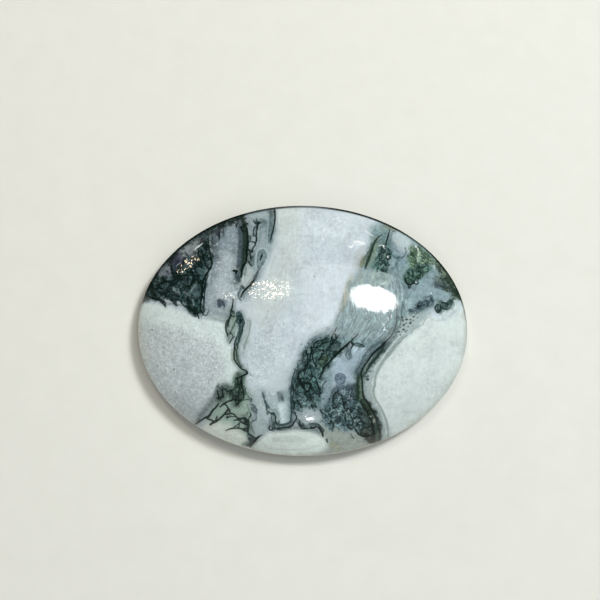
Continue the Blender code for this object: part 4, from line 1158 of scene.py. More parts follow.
PENCIL = [
    # The faint outline that runs beside the right-hand vein
    Line([(428, 317), (425, 320), (423, 324), (420, 325.4), (417, 327), (412.6, 330), (411.4, 333)],
         (1.3, 1.8), 0.6, srgb(140, 156, 152)),
    Line([(407, 335.6), (402.6, 338.6), (399.4, 342.6), (396, 345), (393, 349.4), (388, 356), (382.6, 362),
          (378.4, 370), (376.4, 374), (374.6, 380), (375.2, 385), (373, 390), (373.4, 396), (376, 401),
          (380, 407), (383, 413), (386, 421), (387.6, 430), (388.5, 440)],
         (1.6, 2.0, 1.6, 2.4, 2.4, 1.8), 0.75, srgb(130, 148, 143)),
    Line([(402, 336), (394, 344), (387, 353), (379, 361)], (1.2, 1.2), 0.45, srgb(140, 156, 152)),
    Line([(372, 384), (370.4, 392), (374, 402), (380, 411), (384, 420), (385, 431)], (1.0, 1.2), 0.45,
         srgb(130, 148, 142)),
    Line([(404, 333), (396.6, 340), (390, 348), (383.4, 356.6), (377, 364.6), (374.4, 370)],
         (1.4, 2.0, 1.4), 0.6, srgb(206, 219, 216)),
    Line([(374, 378), (372, 385), (371.6, 392), (373.4, 399), (378, 406), (382, 414), (385, 424),
          (386.6, 434)], (1.6, 1.8), 0.6, srgb(208, 220, 217)),
    Line([(430, 317), (433, 319.6), (438, 320.6), (445, 319), (452, 314), (458, 309)], (1.4, 1.2), 0.32,
         srgb(156, 170, 170)),
    # Halo rings in the veins near the top
    Line([(256.3, 268), (255.8, 260), (257, 252), (261, 248.4), (266, 249.6), (268, 256), (266, 262),
          (261.6, 268.6)], (1.3, 1.3), 0.5, srgb(198, 214, 218)),
    Line([(276.8, 215), (276.6, 232), (275, 242), (271.5, 246.6), (267.6, 243), (267.6, 230), (268.6, 214)],
         (0.9, 1.1), 0.4, srgb(190, 206, 208)),
    Line([(249, 240), (252, 246), (251, 250)], (1.0, 0.8), 0.25, srgb(190, 206, 204)),
    Line([(243.8, 275.6), (242.8, 279.4), (243.4, 283)], (1.4, 1.7, 1.0), 0.6, srgb(206, 220, 212)),
    Line([(238.6, 301.6), (240.4, 302.8), (242.4, 302)], (0.8, 0.9, 0.7), 0.5, srgb(112, 128, 128)),
    # Pale marks in the dark corner
    # A painted highlight: the thin glint across the corner, painted as a pale stroke
    Line([(195, 249.2), (198, 246.8), (200.6, 244.6), (202.6, 243)], (1.0, 1.7, 1.0, 0.5), 0.95,
         srgb(222, 232, 230)),
    Line([(176.4, 266), (178.4, 264.2), (180.8, 263.4)], (0.8, 1.2, 0.9), 0.7, srgb(150, 160, 166)),
    Line([(191, 291), (194, 287), (196, 284.5)], (1.0, 1.0), 0.6, srgb(158, 174, 178)),
    Line([(184, 291.5), (187, 294), (190, 296)], (0.9, 0.9), 0.45, srgb(146, 156, 164)),
    Line([(183, 303), (185, 305.5)], (1.8, 1.4), 0.7, srgb(152, 174, 168)),
    Line([(192.6, 300), (193.6, 302)], (2.0, 1.6), 0.6, srgb(122, 150, 142)),
    Line([(190, 306), (193.4, 311.6)], (1.0, 0.8), 0.7, srgb(112, 142, 122)),
    Line([(200.6, 305), (202.6, 311)], (1.2, 0.8), 0.6, srgb(98, 122, 120)),
    Line([(160.2, 285.5), (161, 287)], (1.8, 1.4), 0.6, srgb(112, 134, 134)),
    Line([(156, 292), (157.5, 294)], (2.2, 1.9), 0.6, srgb(88, 92, 98)),
    Line([(166, 269), (168.6, 267), (169.6, 272)], (2.2, 2.2), 0.5, srgb(158, 168, 176)),
    Line([(179.6, 253), (181, 257), (180.6, 262)], (1.0, 1.0), 0.5, srgb(110, 108, 140)),
    Line([(168.6, 300.6), (166.6, 303)], (1.2, 1.0), 0.5, srgb(158, 176, 168)),
    # Strands beside the left vein
    Line([(249.4, 319.8), (250.8, 322), (250.4, 325), (249.7, 328), (249.5, 332), (248, 337),
          (246.4, 340.8), (245, 344.6), (244.2, 349)],
         (1.0, 1.4, 1.1, 1.3, 1.4), 0.75, srgb(118, 138, 134)),
    Line([(246.6, 319.6), (246.9, 325), (245.8, 332), (244.6, 338), (242.4, 346)], (0.9, 1.0), 0.45,
         srgb(136, 156, 154)),
    Line([(244.6, 327), (244.2, 333), (242.6, 340), (240.8, 346)], (0.8, 1.0), 0.35, srgb(120, 142, 138)),
    Line([(247.4, 364), (248, 369)], (1.4, 1.2), 0.4, srgb(120, 140, 130)),
    Line([(250.6, 374.6), (252.4, 376)], (1.8, 1.6), 0.5, srgb(104, 124, 120)),
    # Strands that pass under the highlight and on towards the moss
    Line([(411, 294), (406.6, 299), (403, 304)], (0.9, 1.1), 0.55, srgb(84, 108, 116)),
    Line([(405.6, 284), (406, 292), (405, 298)], (1.0, 1.1), 0.55, srgb(84, 108, 114)),
    Line([(390.6, 262), (394, 272), (399, 283), (402, 294), (402.6, 304)], (0.7, 0.9), 0.5,
         srgb(92, 116, 122)),
    Line([(397, 268), (400.6, 279), (403.4, 290), (404, 302)], (0.7, 0.8), 0.45, srgb(92, 116, 120)),
    Line([(393, 270), (396.4, 277), (399.6, 288), (400, 302)], (0.7, 0.8), 0.45, srgb(96, 120, 124)),
    Line([(408.6, 287), (406.4, 295), (402.6, 302), (401, 312)], (0.8, 0.9), 0.5, srgb(88, 112, 116)),
    Line([(400.4, 284), (402.6, 292), (402.4, 300)], (1.4, 1.2), 0.4, srgb(186, 206, 208)),
    Line([(390.6, 278), (392.6, 284), (393, 289)], (1.0, 1.3), 0.5, srgb(88, 112, 118)),
    Line([(396.6, 280), (398, 284)], (1.4, 1.2), 0.55, srgb(84, 104, 118)),
    Line([(386, 270), (391, 274), (396, 277)], (1.2, 1.2), 0.65, srgb(84, 106, 112)),
    Line([(372, 275), (371, 279), (372.6, 283)], (1.2, 1.2), 0.55, srgb(88, 112, 110)),
    Line([(358, 268.5), (361, 270), (360, 276), (357, 282), (354, 285)], (1.6, 2.4, 2.4), 0.4,
         srgb(132, 142, 138)),
    Line([(379, 236), (373, 248), (369, 262)], (1.0, 1.2), 0.4, srgb(84, 104, 98)),
    Line([(357.6, 315.4), (355.4, 319.4), (354, 322.4), (353, 326)], (2.0, 1.6, 1.2), 0.62,
         srgb(84, 108, 110)),
    Line([(361, 342), (364, 339), (367, 337), (369, 334), (371, 331.5), (374, 330), (378.4, 329.5)],
         (1.0, 1.4, 1.0, 1.3, 0.9), 0.68, srgb(72, 94, 97)),
    Line([(363.4, 321), (361, 328), (358, 334)], (1.0, 1.1), 0.45, srgb(92, 116, 118)),
    Line([(391, 312), (390, 322), (388, 330), (384, 338)], (1.0, 1.2), 0.4, srgb(96, 120, 124)),
    Line([(384.4, 324), (386.6, 329)], (1.4, 1.2), 0.55, srgb(84, 106, 110)),
    Line([(346.6, 305), (342, 310), (338.6, 315), (337.4, 320), (337.2, 325.4)], (1.6, 2.0, 2.0, 1.4), 0.6,
         srgb(112, 128, 118)),
    Line([(352, 299), (352.8, 303)], (1.2, 1.2), 0.5, srgb(120, 138, 138)),
    Line([(342, 322), (342.6, 328), (340, 334)], (1.4, 1.6), 0.55, srgb(78, 104, 106)),
    Line([(343, 336), (344, 339)], (1.8, 1.6), 0.6, srgb(66, 92, 94)),
    Line([(349, 322), (347, 330), (345, 336)], (1.0, 1.2), 0.4, srgb(96, 120, 122)),
    # The ringed blob and its neighbours
    Line([(340, 373.2), (343.6, 374.8), (345.2, 378.6), (343.8, 382.6), (340.4, 383.8)], (1.1, 1.5, 1.2),
         0.75, srgb(54, 72, 88)),
    Line([(337.4, 383.2), (335.4, 380), (335.6, 376), (337.6, 373.8), (340, 373.2)], (1.0, 1.4, 1.1), 0.65,
         srgb(58, 76, 92)),
    Line([(340.4, 378.2), (340.9, 378.8)], (1.7, 1.6), 0.8, srgb(54, 72, 86)),
    Line([(338, 386), (334.4, 388), (332.2, 391), (331, 396)], (1.2, 1.3, 1.0), 0.6, srgb(66, 86, 98)),
    Line([(348.5, 376.6), (351, 378.8), (350, 382), (346.8, 382), (346, 379), (348.5, 376.6)], (1.0, 1.0),
         0.45, srgb(118, 134, 146)),
    Line([(346.4, 351), (345.8, 354.6), (346.6, 357.6), (348.4, 359.6), (350.4, 357.4)], (1.2, 1.1, 0.9),
         0.7, srgb(66, 88, 94)),
    Line([(349, 350.6), (351.2, 354), (352, 358)], (1.1, 0.9), 0.6, srgb(76, 98, 104)),
    Line([(357.6, 361.6), (358, 363)], (1.4, 1.2), 0.4, srgb(104, 122, 132)),
    Line([(333, 364), (337, 361)], (2.0, 1.4), 0.35, srgb(116, 136, 142)),
    # Strokes inside the white tongue
    Line([(277.6, 392.6), (279.4, 398)], (1.8, 1.6), 0.5, srgb(96, 112, 116)),
    Line([(281.7, 397), (282.7, 400)], (2.2, 1.8), 0.75, srgb(60, 82, 84)),
    Line([(279.4, 400.8), (279.3, 401.8)], (1.3, 1.1), 0.6, srgb(84, 102, 100)),
    # Lilac strokes beside the twigs at the lower left
    Line([(250.4, 404.6), (253, 404.6), (255.2, 406.3)], (1.2, 1.5, 1.1), 0.85, srgb(68, 88, 92)),
    Line([(253, 406.9), (255.2, 408.3), (256.6, 409.7), (257.8, 410.8)], (1.4, 1.9, 1.3), 0.85,
         srgb(58, 78, 84)),
    Line([(250.8, 407.6), (252.6, 410), (254.6, 411.4), (256.2, 411.8)], (1.4, 1.8, 1.2), 0.85,
         srgb(54, 74, 76)),
    Line([(256.4, 412.4), (256.8, 413.4)], (1.8, 1.6), 0.8, srgb(60, 84, 86)),
    Line([(254.4, 413.8), (256, 416), (256.8, 418), (255.8, 420)], (1.2, 1.4, 1.2), 0.7,
         srgb(88, 104, 112)),
    Line([(256, 420), (253, 421), (251.3, 422.4)], (1.2, 1.8, 1.2), 0.8, srgb(60, 80, 80)),
    Line([(252.6, 413.6), (254, 416), (253.4, 418.6)], (2.0, 2.4, 1.6), 0.5, srgb(146, 162, 172)),
    Line([(250.8, 417.6), (252.4, 418.6)], (1.0, 1.2), 0.5, srgb(96, 116, 116)),
    Line([(257.6, 405.6), (258.4, 410), (258.4, 415), (257.8, 420)], (1.4, 1.2), 0.45, srgb(186, 204, 204)),
    Line([(247, 404.6), (248, 408), (249, 410.6), (250.4, 413)], (1.0, 1.1), 0.7, srgb(84, 110, 98)),
    Line([(247, 412.4), (247, 414)], (1.8, 1.6), 0.6, srgb(72, 98, 86)),
    Line([(252.2, 395), (253, 396.4)], (1.4, 1.2), 0.4, srgb(120, 140, 140)),
    # Greenish white streaks at the top right
    # A painted highlight: the bright streak below the granular patch
    Line([(381, 284), (383.6, 283.4), (386, 282.4)], (1.0, 1.5, 1.0), 0.7, srgb(206, 222, 212)),
    Line([(374.6, 273), (372.6, 276), (372.8, 280)], (0.9, 1.3, 0.9), 0.6, srgb(176, 198, 192)),
    Line([(379, 272), (384, 273.4), (388, 276)], (0.8, 1.1, 0.8), 0.5, srgb(176, 198, 194)),
    Line([(365, 274), (363.4, 278), (361, 282)], (1.2, 1.2), 0.5, srgb(166, 184, 178)),
    Line([(418, 250), (418.8, 253), (419, 256.4)], (0.9, 1.2, 0.8), 0.7, srgb(190, 206, 192)),
    Line([(417.2, 259.6), (416.8, 262.6)], (1.1, 0.9), 0.6, srgb(180, 198, 184)),
    Line([(434, 265.6), (434.6, 269)], (1.6, 1.0), 0.5, srgb(186, 204, 202)),
    # Faint cracks in the white field
    Line([(276, 255), (274.4, 259), (272, 264), (270, 271)], (1.0, 1.4, 0.8), 0.3, srgb(146, 160, 162)),
    Line([(312, 247), (314, 252), (317, 259), (319, 267), (316, 274)], (1.6, 1.8, 1.4), 0.22,
         srgb(156, 168, 178)),
    Line([(325, 242), (327, 248)], (1.6, 1.2), 0.25, srgb(160, 172, 182)),
    Line([(292.6, 323.4), (295.4, 326)], (1.6, 1.2), 0.35, srgb(150, 164, 172)),
    Line([(291.4, 332), (293.6, 330), (294, 333)], (1.4, 1.2), 0.3, srgb(152, 166, 174)),
    Line([(282, 333), (283, 337)], (1.6, 1.2), 0.25, srgb(160, 172, 180)),
    Line([(344.4, 286), (345, 296), (344.6, 304)], (1.2, 1.6, 1.4), 0.45, srgb(186, 178, 152)),
    Line([(348.4, 284), (348.8, 294), (348, 303)], (1.2, 1.4), 0.4, srgb(140, 150, 146)),
]

GRAINY = [
    # Outline, softness, strength
    ([(142, 330), (170, 322), (215, 335), (228, 362), (222, 380), (205, 405), (190, 420), (160, 405),
      (142, 365)], 12.0, 1.0),
    ([(214, 250), (238, 252), (238, 300), (212, 302)], 8.0, 0.9),
    ([(250, 340), (266, 325), (284, 340), (276, 366), (258, 392), (250, 376)], 8.0, 0.8),
    ([(295, 225), (345, 225), (345, 265), (310, 275), (290, 255)], 14.0, 0.35),
]

STREAKY = [
    ([(352, 284), (372, 284), (400, 281), (408, 310), (398, 336), (366, 352), (336, 345), (340, 308)],
     4.0, 1.0),
    ([(372, 226), (396, 226), (404, 270), (400, 290), (360, 290), (364, 258)], 6.0, 0.3),
    ([(285, 212), (330, 215), (330, 330), (290, 360), (275, 300)], 14.0, 0.12),
    ([(380, 355), (420, 330), (450, 330), (440, 390), (400, 420), (385, 400)], 20.0, 0.06),
]

# Patches of small pits whose facets glitter: outline, softness, strength
FROST = [
    ([(250, 285), (262, 281), (276, 279), (290, 283), (291, 293), (278, 299), (262, 298), (251, 294)],
     4.0, 0.9),
    ([(176, 270), (184, 260), (196, 252), (203, 255), (198, 265), (188, 273), (178, 275)], 2.5, 0.7),
    ([(350, 239), (358, 238), (366, 242), (366, 246), (358, 246), (350, 244)], 1.5, 2.6),
    ([(334, 219), (346, 219), (349, 224), (336, 225)], 1.5, 3.0),
    ([(322, 228), (328, 227), (327, 242), (322, 242)], 1.5, 2.8),
    ([(346, 245), (354, 245), (354, 250), (347, 250)], 1.5, 2.4),
    ([(364, 228), (372, 228), (373, 234), (366, 235)], 1.5, 2.8),
    ([(378, 241), (386, 243), (391, 258), (386, 260), (380, 250)], 2.0, 2.2),
    ([(409, 280), (418, 280), (419, 287), (411, 288)], 2.0, 0.4),
    ([(412, 302), (420, 302), (419, 309), (412, 309)], 1.5, 1.0),
    ([(224, 292), (237, 294), (236, 301), (222, 299)], 2.0, 1.6),
    ([(380, 325), (388, 325), (388, 332), (381, 332)], 1.5, 1.2),
]

# Where the wheel has left combed marks
BRUSHED = [
    ([(340, 300), (360, 305), (385, 308), (404, 302), (408, 330), (380, 340), (345, 330)], 5.0, 1.0),
]


# The camera of the photograph

def camera_axes():
    """Where the camera stands and its right, up and forward directions."""
    forward = -Vector((math.sin(CAMERA_TILT) * math.cos(CAMERA_SIDE),
                       math.sin(CAMERA_TILT) * math.sin(CAMERA_SIDE), math.cos(CAMERA_TILT)))
    right = forward.cross(Vector((0.0, 1.0, 0.0))).normalized()
    up = right.cross(forward)
    distance = PIXEL * FOCAL_PIXELS
    centre = Vector(((LOW.x + HIGH.x) / 2, (LOW.y + HIGH.y) / 2, AIM_HEIGHT))
    across = (STONE_PIXEL[0] - PHOTO_SIZE / 2) * PIXEL
    down = (STONE_PIXEL[1] - PHOTO_SIZE / 2) * PIXEL
    aim = centre - right * across + up * down
    return aim - forward * distance, right, up, forward


def photo_pixels(points):
    """The photograph's pixel in which each point of space shows."""
    position, right, up, forward = camera_axes()
    away = points - np.array(position)
    depth = away @ np.array(forward)
    columns = PHOTO_SIZE / 2 + FOCAL_PIXELS * (away @ np.array(right)) / depth
    rows = PHOTO_SIZE / 2 - FOCAL_PIXELS * (away @ np.array(up)) / depth
    return np.column_stack([columns, rows])


# The stone's shape

def dome_height(x, y):
    """Height of the dome above the stone's flat back."""
    fall = np.clip(1.0 - (x / HALF_LENGTH) ** 2 - (y / HALF_WIDTH) ** 2, 0.0, 1.0)
    return GIRDLE_TOP + (TOP - GIRDLE_TOP) * fall ** FULLNESS


def oval_grid(columns, rows):
    """Points of a square grid spread over the unit disc, closer together near its rim."""
    s, t = np.meshgrid(np.linspace(-1, 1, columns + 1), np.linspace(-1, 1, rows + 1))
    x = s * np.sqrt(1.0 - t ** 2 / 2)
    y = t * np.sqrt(1.0 - s ** 2 / 2)
    radius = np.maximum(np.hypot(x, y), 1e-9)
    pull = np.sin(np.minimum(radius, 1.0) * RIM_CROWDING) / math.sin(RIM_CROWDING) / radius
    return np.column_stack([(x * pull).ravel(), (y * pull).ravel()])


def grid_border(columns, rows):
    """Indices around a grid's edge, counter-clockwise."""
    bottom = list(range(columns))
    right = [columns + j * (columns + 1) for j in range(rows)]
    top = [rows * (columns + 1) + i for i in range(columns, 0, -1)]
    left = [j * (columns + 1) for j in range(rows, 0, -1)]
    return bottom + right + top + left


def grid_faces(columns, rows, first, upward):
    """Quads of a grid whose points start at index `first`."""
    faces = []
    for j in range(rows):
        for i in range(columns):
            corner = first + j * (columns + 1) + i
            quad = (corner, corner + 1, corner + columns + 2, corner + columns + 1)
            faces.append(quad if upward else quad[::-1])
    return faces


def side_levels():
    """(how far in from the rim, height) of each ring from the girdle's top down to the back's edge."""
    levels = []
    for step in range(1, GIRDLE_RINGS + 1):
        levels.append((0.0, GIRDLE_TOP + (BACK_BEVEL - GIRDLE_TOP) * step / GIRDLE_RINGS))
    levels.append((BACK_BEVEL / 2, BACK_BEVEL / 2))
    levels.append((BACK_BEVEL, 0.0))
    return levels


def stone_geometry():
    """Vertices and faces of the whole stone: the dome, the girdle, the bevel and the back."""
    disc = oval_grid(DOME_COLUMNS, DOME_ROWS)
    x, y = disc[:, 0] * HALF_LENGTH, disc[:, 1] * HALF_WIDTH
    vertices = [np.column_stack([x, y, dome_height(x, y)])]
    faces = grid_faces(DOME_COLUMNS, DOME_ROWS, 0, True)
    border = grid_border(DOME_COLUMNS, DOME_ROWS)
    rim = disc[border]
    count = len(border)
    upper = border
    total = len(disc)
    for inset, height in side_levels():
        ring = np.column_stack([
            rim[:, 0] * (HALF_LENGTH - inset), rim[:, 1] * (HALF_WIDTH - inset), np.full(count, height),
        ])
        vertices.append(ring)
        lower = list(range(total, total + count))
        total += count
        for i in range(count):
            j = (i + 1) % count
            faces.append((lower[i], lower[j], upper[j], upper[i]))
        upper = lower
    columns, rows = DOME_COLUMNS // BACK_STRIDE, DOME_ROWS // BACK_STRIDE
    back = oval_grid(columns, rows) * BACK_REACH
    vertices.append(np.column_stack([
        back[:, 0] * HALF_LENGTH, back[:, 1] * HALF_WIDTH, np.zeros(len(back)),
    ]))
    faces += grid_faces(columns, rows, total, False)
    inner = [total + index for index in grid_border(columns, rows)]
    faces += back_seam(upper, inner)
    return np.vstack(vertices), faces


def back_seam(outer, inner):
    """Faces between the back's edge and its coarser grid, whose border has fewer points."""
    faces = []
    for index, corner in enumerate(inner):
        following = inner[(index + 1) % len(inner)]
        run = [outer[(index * BACK_STRIDE + step) % len(outer)] for step in range(BACK_STRIDE + 1)]
        middle = (BACK_STRIDE + 1) // 2
        for step in range(BACK_STRIDE):
            tip = corner if step < middle else following
            faces.append((run[step + 1], run[step], tip))
        faces.append((run[middle], corner, following))
    return faces


# The markings on the surface

def marking_places(vertices):
    """The photograph's pixel whose marking each vertex carries: its own on the dome, slanted on below it."""
    x, y, z = vertices.T
    surface = dome_height(x, y)
    above = np.column_stack([x, y, surface])
    places = photo_pixels(above)
    depth = (surface - z)[:, None]
    swing = np.column_stack([ripple(places, size=60, seed=11), ripple(places, size=60, seed=12)])
    return places + depth * (LEAN + WANDER * swing)


def line_fields(places, lines, firmness, reach=7.0):
    """Offset to the nearest line with its distance; its half width, darkness and slack; its colour.

    The slack is how far the material may move the line's edge: short strokes have less of it. The
    firmness takes each line's darkness from what is listed towards 1.
    """
    offsets = np.tile([0.0, FAR, FAR], (len(places), 1))
    shapes = np.tile([0.1, 0.0, 0.0], (len(places), 1))
    colours = np.tile(VEIN_BLACK, (len(places), 1))
    lead = np.full(len(places), np.inf)
    for line in lines:
        curve = smooth_curve(line.points)
        close = near(places, curve, reach)
        offset, distance, along = nearest(places[close], curve)
        widths = np.array(line.width)
        half = np.interp(along, np.linspace(0, 1, len(widths)), widths) / 2
        slack = min(0.8, 0.1 + 0.15 * len(curve))
        ahead = distance - half < lead[close]
        chosen = close[ahead]
        lead[chosen] = (distance - half)[ahead]
        offsets[chosen] = np.column_stack([offset, distance])[ahead]
        constants = np.tile([line.dark + (1.0 - line.dark) * firmness, slack], (len(half), 1))
        shapes[chosen] = np.column_stack([half, constants])[ahead]
        colours[chosen] = line.colour
    return offsets, shapes, colours


def shaken(places, amount, size, seed):
    """Places moved by up to the given number of pixels, which makes outlines drawn there uneven."""
    return places + amount * np.column_stack([ripple(places, size, seed), ripple(places, size, seed + 1)])


def soft_cover(places, outline, soft, strength):
    """How much a soft-edged outline covers each place."""
    depth = depth_inside(places, outline, soft + 1)
    return ease(depth, -soft, soft) * strength


def blended(colours, colour, share):
    """The colours taken towards one colour by a share of their own."""
    share = share[:, None]
    return colours * (1 - share) + colour * share


def body_colours(places, halo):
    """The ground colour of the stone with its zones, clouds, moss grounds and the haze around its veins."""
    wavy = shaken(places, amount=1.5, size=7, seed=21)
    rough = shaken(shaken(wavy, amount=2.4, size=4.2, seed=31), amount=1.2, size=2.1, seed=33)
    uneven = 0.88 + 0.12 * ripple(places, size=3.5, seed=41)
    colours = np.tile(MILK, (len(places), 1))
    for fill in GROUND:
        colours = blended(colours, fill.colour, soft_cover(wavy, fill.points, fill.soft, fill.strength))
    for patch in MOSS_PATCHES:
        depth = depth_inside(rough, patch.points, patch.fade + 1.5)
        colours = blended(colours, patch.ground, ease(depth, -patch.fade - 1.0, 1.5) * uneven)
    for fill in WINDOWS:
        cover = soft_cover(rough, fill.points, fill.soft, fill.strength)
        colours = blended(colours, fill.colour, cover * uneven)
    for cloud in SOFT_CLOUDS:
        curve = smooth_curve(cloud.points)
        close = near(wavy, curve, cloud.width * 2)
        _, distance, _ = nearest(wavy[close], curve)
        share = np.exp(-(distance / cloud.width * 1.6) ** 2) * cloud.strength
        colours[close] = blended(colours[close], cloud.colour, share)
    colours = blended(colours, HALO_GREY, halo)
    return colours * (BODY_LEVEL + BODY_CONTRAST * colours.mean(axis=1, keepdims=True)) * BODY_TINT


def line_halo(offsets, shapes):
    """How strongly the haze around the nearest dark line tints each place."""
    past = np.maximum(offsets[:, 2] - shapes[:, 0], 0.0)
    long_strokes = shapes[:, 2] > SPECK_SLACK
    return np.exp(-(past / HALO_REACH) ** 2) * shapes[:, 1] * long_strokes * HALO_STRENGTH


def moss_fields(places):
    """Depth inside the deepest moss patch but outside its windows, its density and fade; its colour."""
    reach = 12.0
    window_edge = 1.2
    places = shaken(places, amount=2.0, size=4.2, seed=31)
    depth = np.full(len(places), -reach)
    net = np.zeros(len(places))
    fade = np.ones(len(places))
    colours = np.tile(VEIN_BLACK, (len(places), 1))
    for patch in MOSS_PATCHES:
        own = depth_inside(places, patch.points, reach)
        deeper = own > depth
        depth[deeper] = own[deeper]
        net[deeper] = patch.net
        fade[deeper] = patch.fade
        colours[deeper] = patch.colour
    for window in WINDOWS:
        depth = np.minimum(depth, window_edge - depth_inside(places, window.points, reach))
    return np.column_stack([depth, net, fade]), colours


def zone_strength(places, zones):
    """How strongly each place lies in any of the zones."""
    strength = np.zeros(len(places))
    for zone in zones:
        strength = np.maximum(strength, soft_cover(places, *zone))
    return strength


def add_vectors(mesh, name, values):
    layer = mesh.attributes.new(name, "FLOAT_VECTOR", "POINT")
    layer.data.foreach_set("vector", np.asarray(values, dtype=np.float32).ravel())


def add_colours(mesh, name, values):
    layer = mesh.attributes.new(name, "FLOAT_COLOR", "POINT")
    filled = np.column_stack([values, np.ones(len(values))])
    layer.data.foreach_set("color", filled.astype(np.float32).ravel())


# Where the rim's upper and lower sides fade in and out, in degrees from the right
UPPER_START = (-6.0, 16.0)
UPPER_END = (163.0, 174.0)
LOWER_START = (4.0, 20.0)
LOWER_END = (168.0, 178.0)

# The heights at which the painted contact shadow at the lower side's foot begins and is full
FOOT_SHADOW_TOP = 0.0010
FOOT_SHADOW_FULL = 0.0007


def rim_fields(vertices):
    """How dark, how pale and how matt the ground edge is at each vertex.

    The edge is matt along the stone's upper side, in the photograph's sense, and painted dark there: painted
    shade for the dark gap and its reflection at that rim. Along its lower side it is matt and painted pale,
    painted light on the lit girdle, with a painted contact shadow as a dark line at its foot. The turn is in
    degrees from the right.
    """
    x, y, z = vertices.T
    turn = np.degrees(np.arctan2(y / HALF_WIDTH, x / HALF_LENGTH))
    upper = ease(turn, *UPPER_START) * (1.0 - ease(turn, *UPPER_END))
    lower = np.minimum(ease(-turn, *LOWER_START) + ease(turn, *LOWER_END), 1.0)
    radius = np.maximum(np.hypot(x / HALF_LENGTH, y / HALF_WIDTH), 1e-6)
    inset = np.hypot(x, y) * (1.0 / radius - 1.0)
    # Painted shade: a dark band along the upper rim, standing in for the dark gap and its reflection there
    wide = DARK_EDGE * (0.45 + 0.55 * np.sin(np.radians(np.clip(turn, 0.0, 180.0))))
    dark = (1.0 - ease(inset, 0.6 * wide, 1.1 * wide)) * upper
    dark = dark * (0.2 + 0.8 * ease(z, DARK_FOOT, DARK_TOP))
    dark = dark * (0.85 + 0.15 * ripple(np.column_stack([turn, turn * 0]), size=11, seed=61))
    # Painted shadow: a dark line at the lower side's foot, where the stone meets the floor
    painted_foot_shadow = ease(-z, -FOOT_SHADOW_TOP, -FOOT_SHADOW_FULL) * lower * 0.6
    dark = np.maximum(dark, painted_foot_shadow)
    # Painted light: the lower girdle painted pale where it catches the light
    pale = np.where(z < GIRDLE_TOP + 0.0001, 0.75, 0.0) * lower
    matt = np.maximum((1.0 - ease(inset, 0.8 * wide, MATT_EDGE)) * upper, pale)
    return dark, pale, matt


def drawn_layers():
    """All drawn lines by layer, from the broad strokes up to the ink."""
    glints = [Line([(x0, y0), (x1, y1)], (width, width), 0.92, GLINT_AND_FLECK_WHITE) for x0, y0, x1, y1, width in PAINTED_GLINTS]
    specks = [Line([(x - 0.2, y), (x + 0.2, y)], (1.6 * radius, 1.6 * radius), 0.9 * dark, SPECK_BLACK)
              for x, y, radius, dark in SPECKS]
    return {
        "wash": WASH,
        "hair": grown(grow_hairs, FRINGES, 200) + grown(grow_grains, SPRINKLES, 300),
        "thread": grown(grow_dark_threads, MOSS_PATCHES, 100) + grown(grow_grains, GRAINS, 500),
        "pencil": PENCIL + glints + grown(grow_pale_threads, MOSS_PATCHES, 400),
        "ink": INK + specks,
    }


def stone_mesh():
    """The stone's mesh, with all that its material needs to know stored at each vertex."""
    vertices, faces = stone_geometry()
    mesh = bpy.data.meshes.new("moss_agate_stone")
    mesh.from_pydata(vertices.tolist(), [], faces)
    mesh.validate()
    mesh.shade_smooth()
    mesh.set_sharp_from_angle(angle=math.radians(35))
    places = marking_places(vertices)
    for name, lines in drawn_layers().items():
        offsets, shapes, colours = line_fields(places, lines, INK_FIRMNESS if name == "ink" else 0.0)
        add_vectors(mesh, name + "_offset", offsets)
        add_vectors(mesh, name + "_shape", shapes)
        add_colours(mesh, name + "_colour", colours)
    # The last layer is the ink
    ink_halo = line_halo(offsets, shapes)
    moss, moss_colours = moss_fields(places)
    textures = np.column_stack([zone_strength(places, zones) for zones in (GRAINY, STREAKY, FROST)])
    dark, pale, matt = rim_fields(vertices)
    add_vectors(mesh, "moss", moss)
    add_vectors(mesh, "texture", textures)
    add_vectors(mesh, "rim", np.column_stack([dark, pale, matt]))
    add_vectors(mesh, "flow", np.column_stack([flow_coordinates(places), zone_strength(places, BRUSHED)]))
    add_vectors(mesh, "place", np.column_stack([places, places[:, 0] * 0]))
    add_colours(mesh, "moss_colour", moss_colours)
    add_colours(mesh, "body", body_colours(places, ink_halo))
    return mesh


# The left and right sides of the flowing bands, as columns of the photograph at the given rows
FLOW_ROWS = (200, 240, 280, 320, 360, 400, 450)
LEFT_FLOW = (248, 250, 244, 240, 238, 244, 256)
RIGHT_FLOW = (402, 390, 394, 398, 366, 362, 378)
FLOW_WIDTH = 12.0


def flow_coordinates(places):
    """Coordinates that follow the bands: about a millimetre each, across them and along them."""
    x, y = places.T
    left = np.interp(y, FLOW_ROWS, LEFT_FLOW)
    right = np.interp(y, FLOW_ROWS, RIGHT_FLOW)
    across = (x - left) / (right - left) * FLOW_WIDTH
    along = y * PIXEL * 1000
    return np.column_stack([across, along])


# Shader building

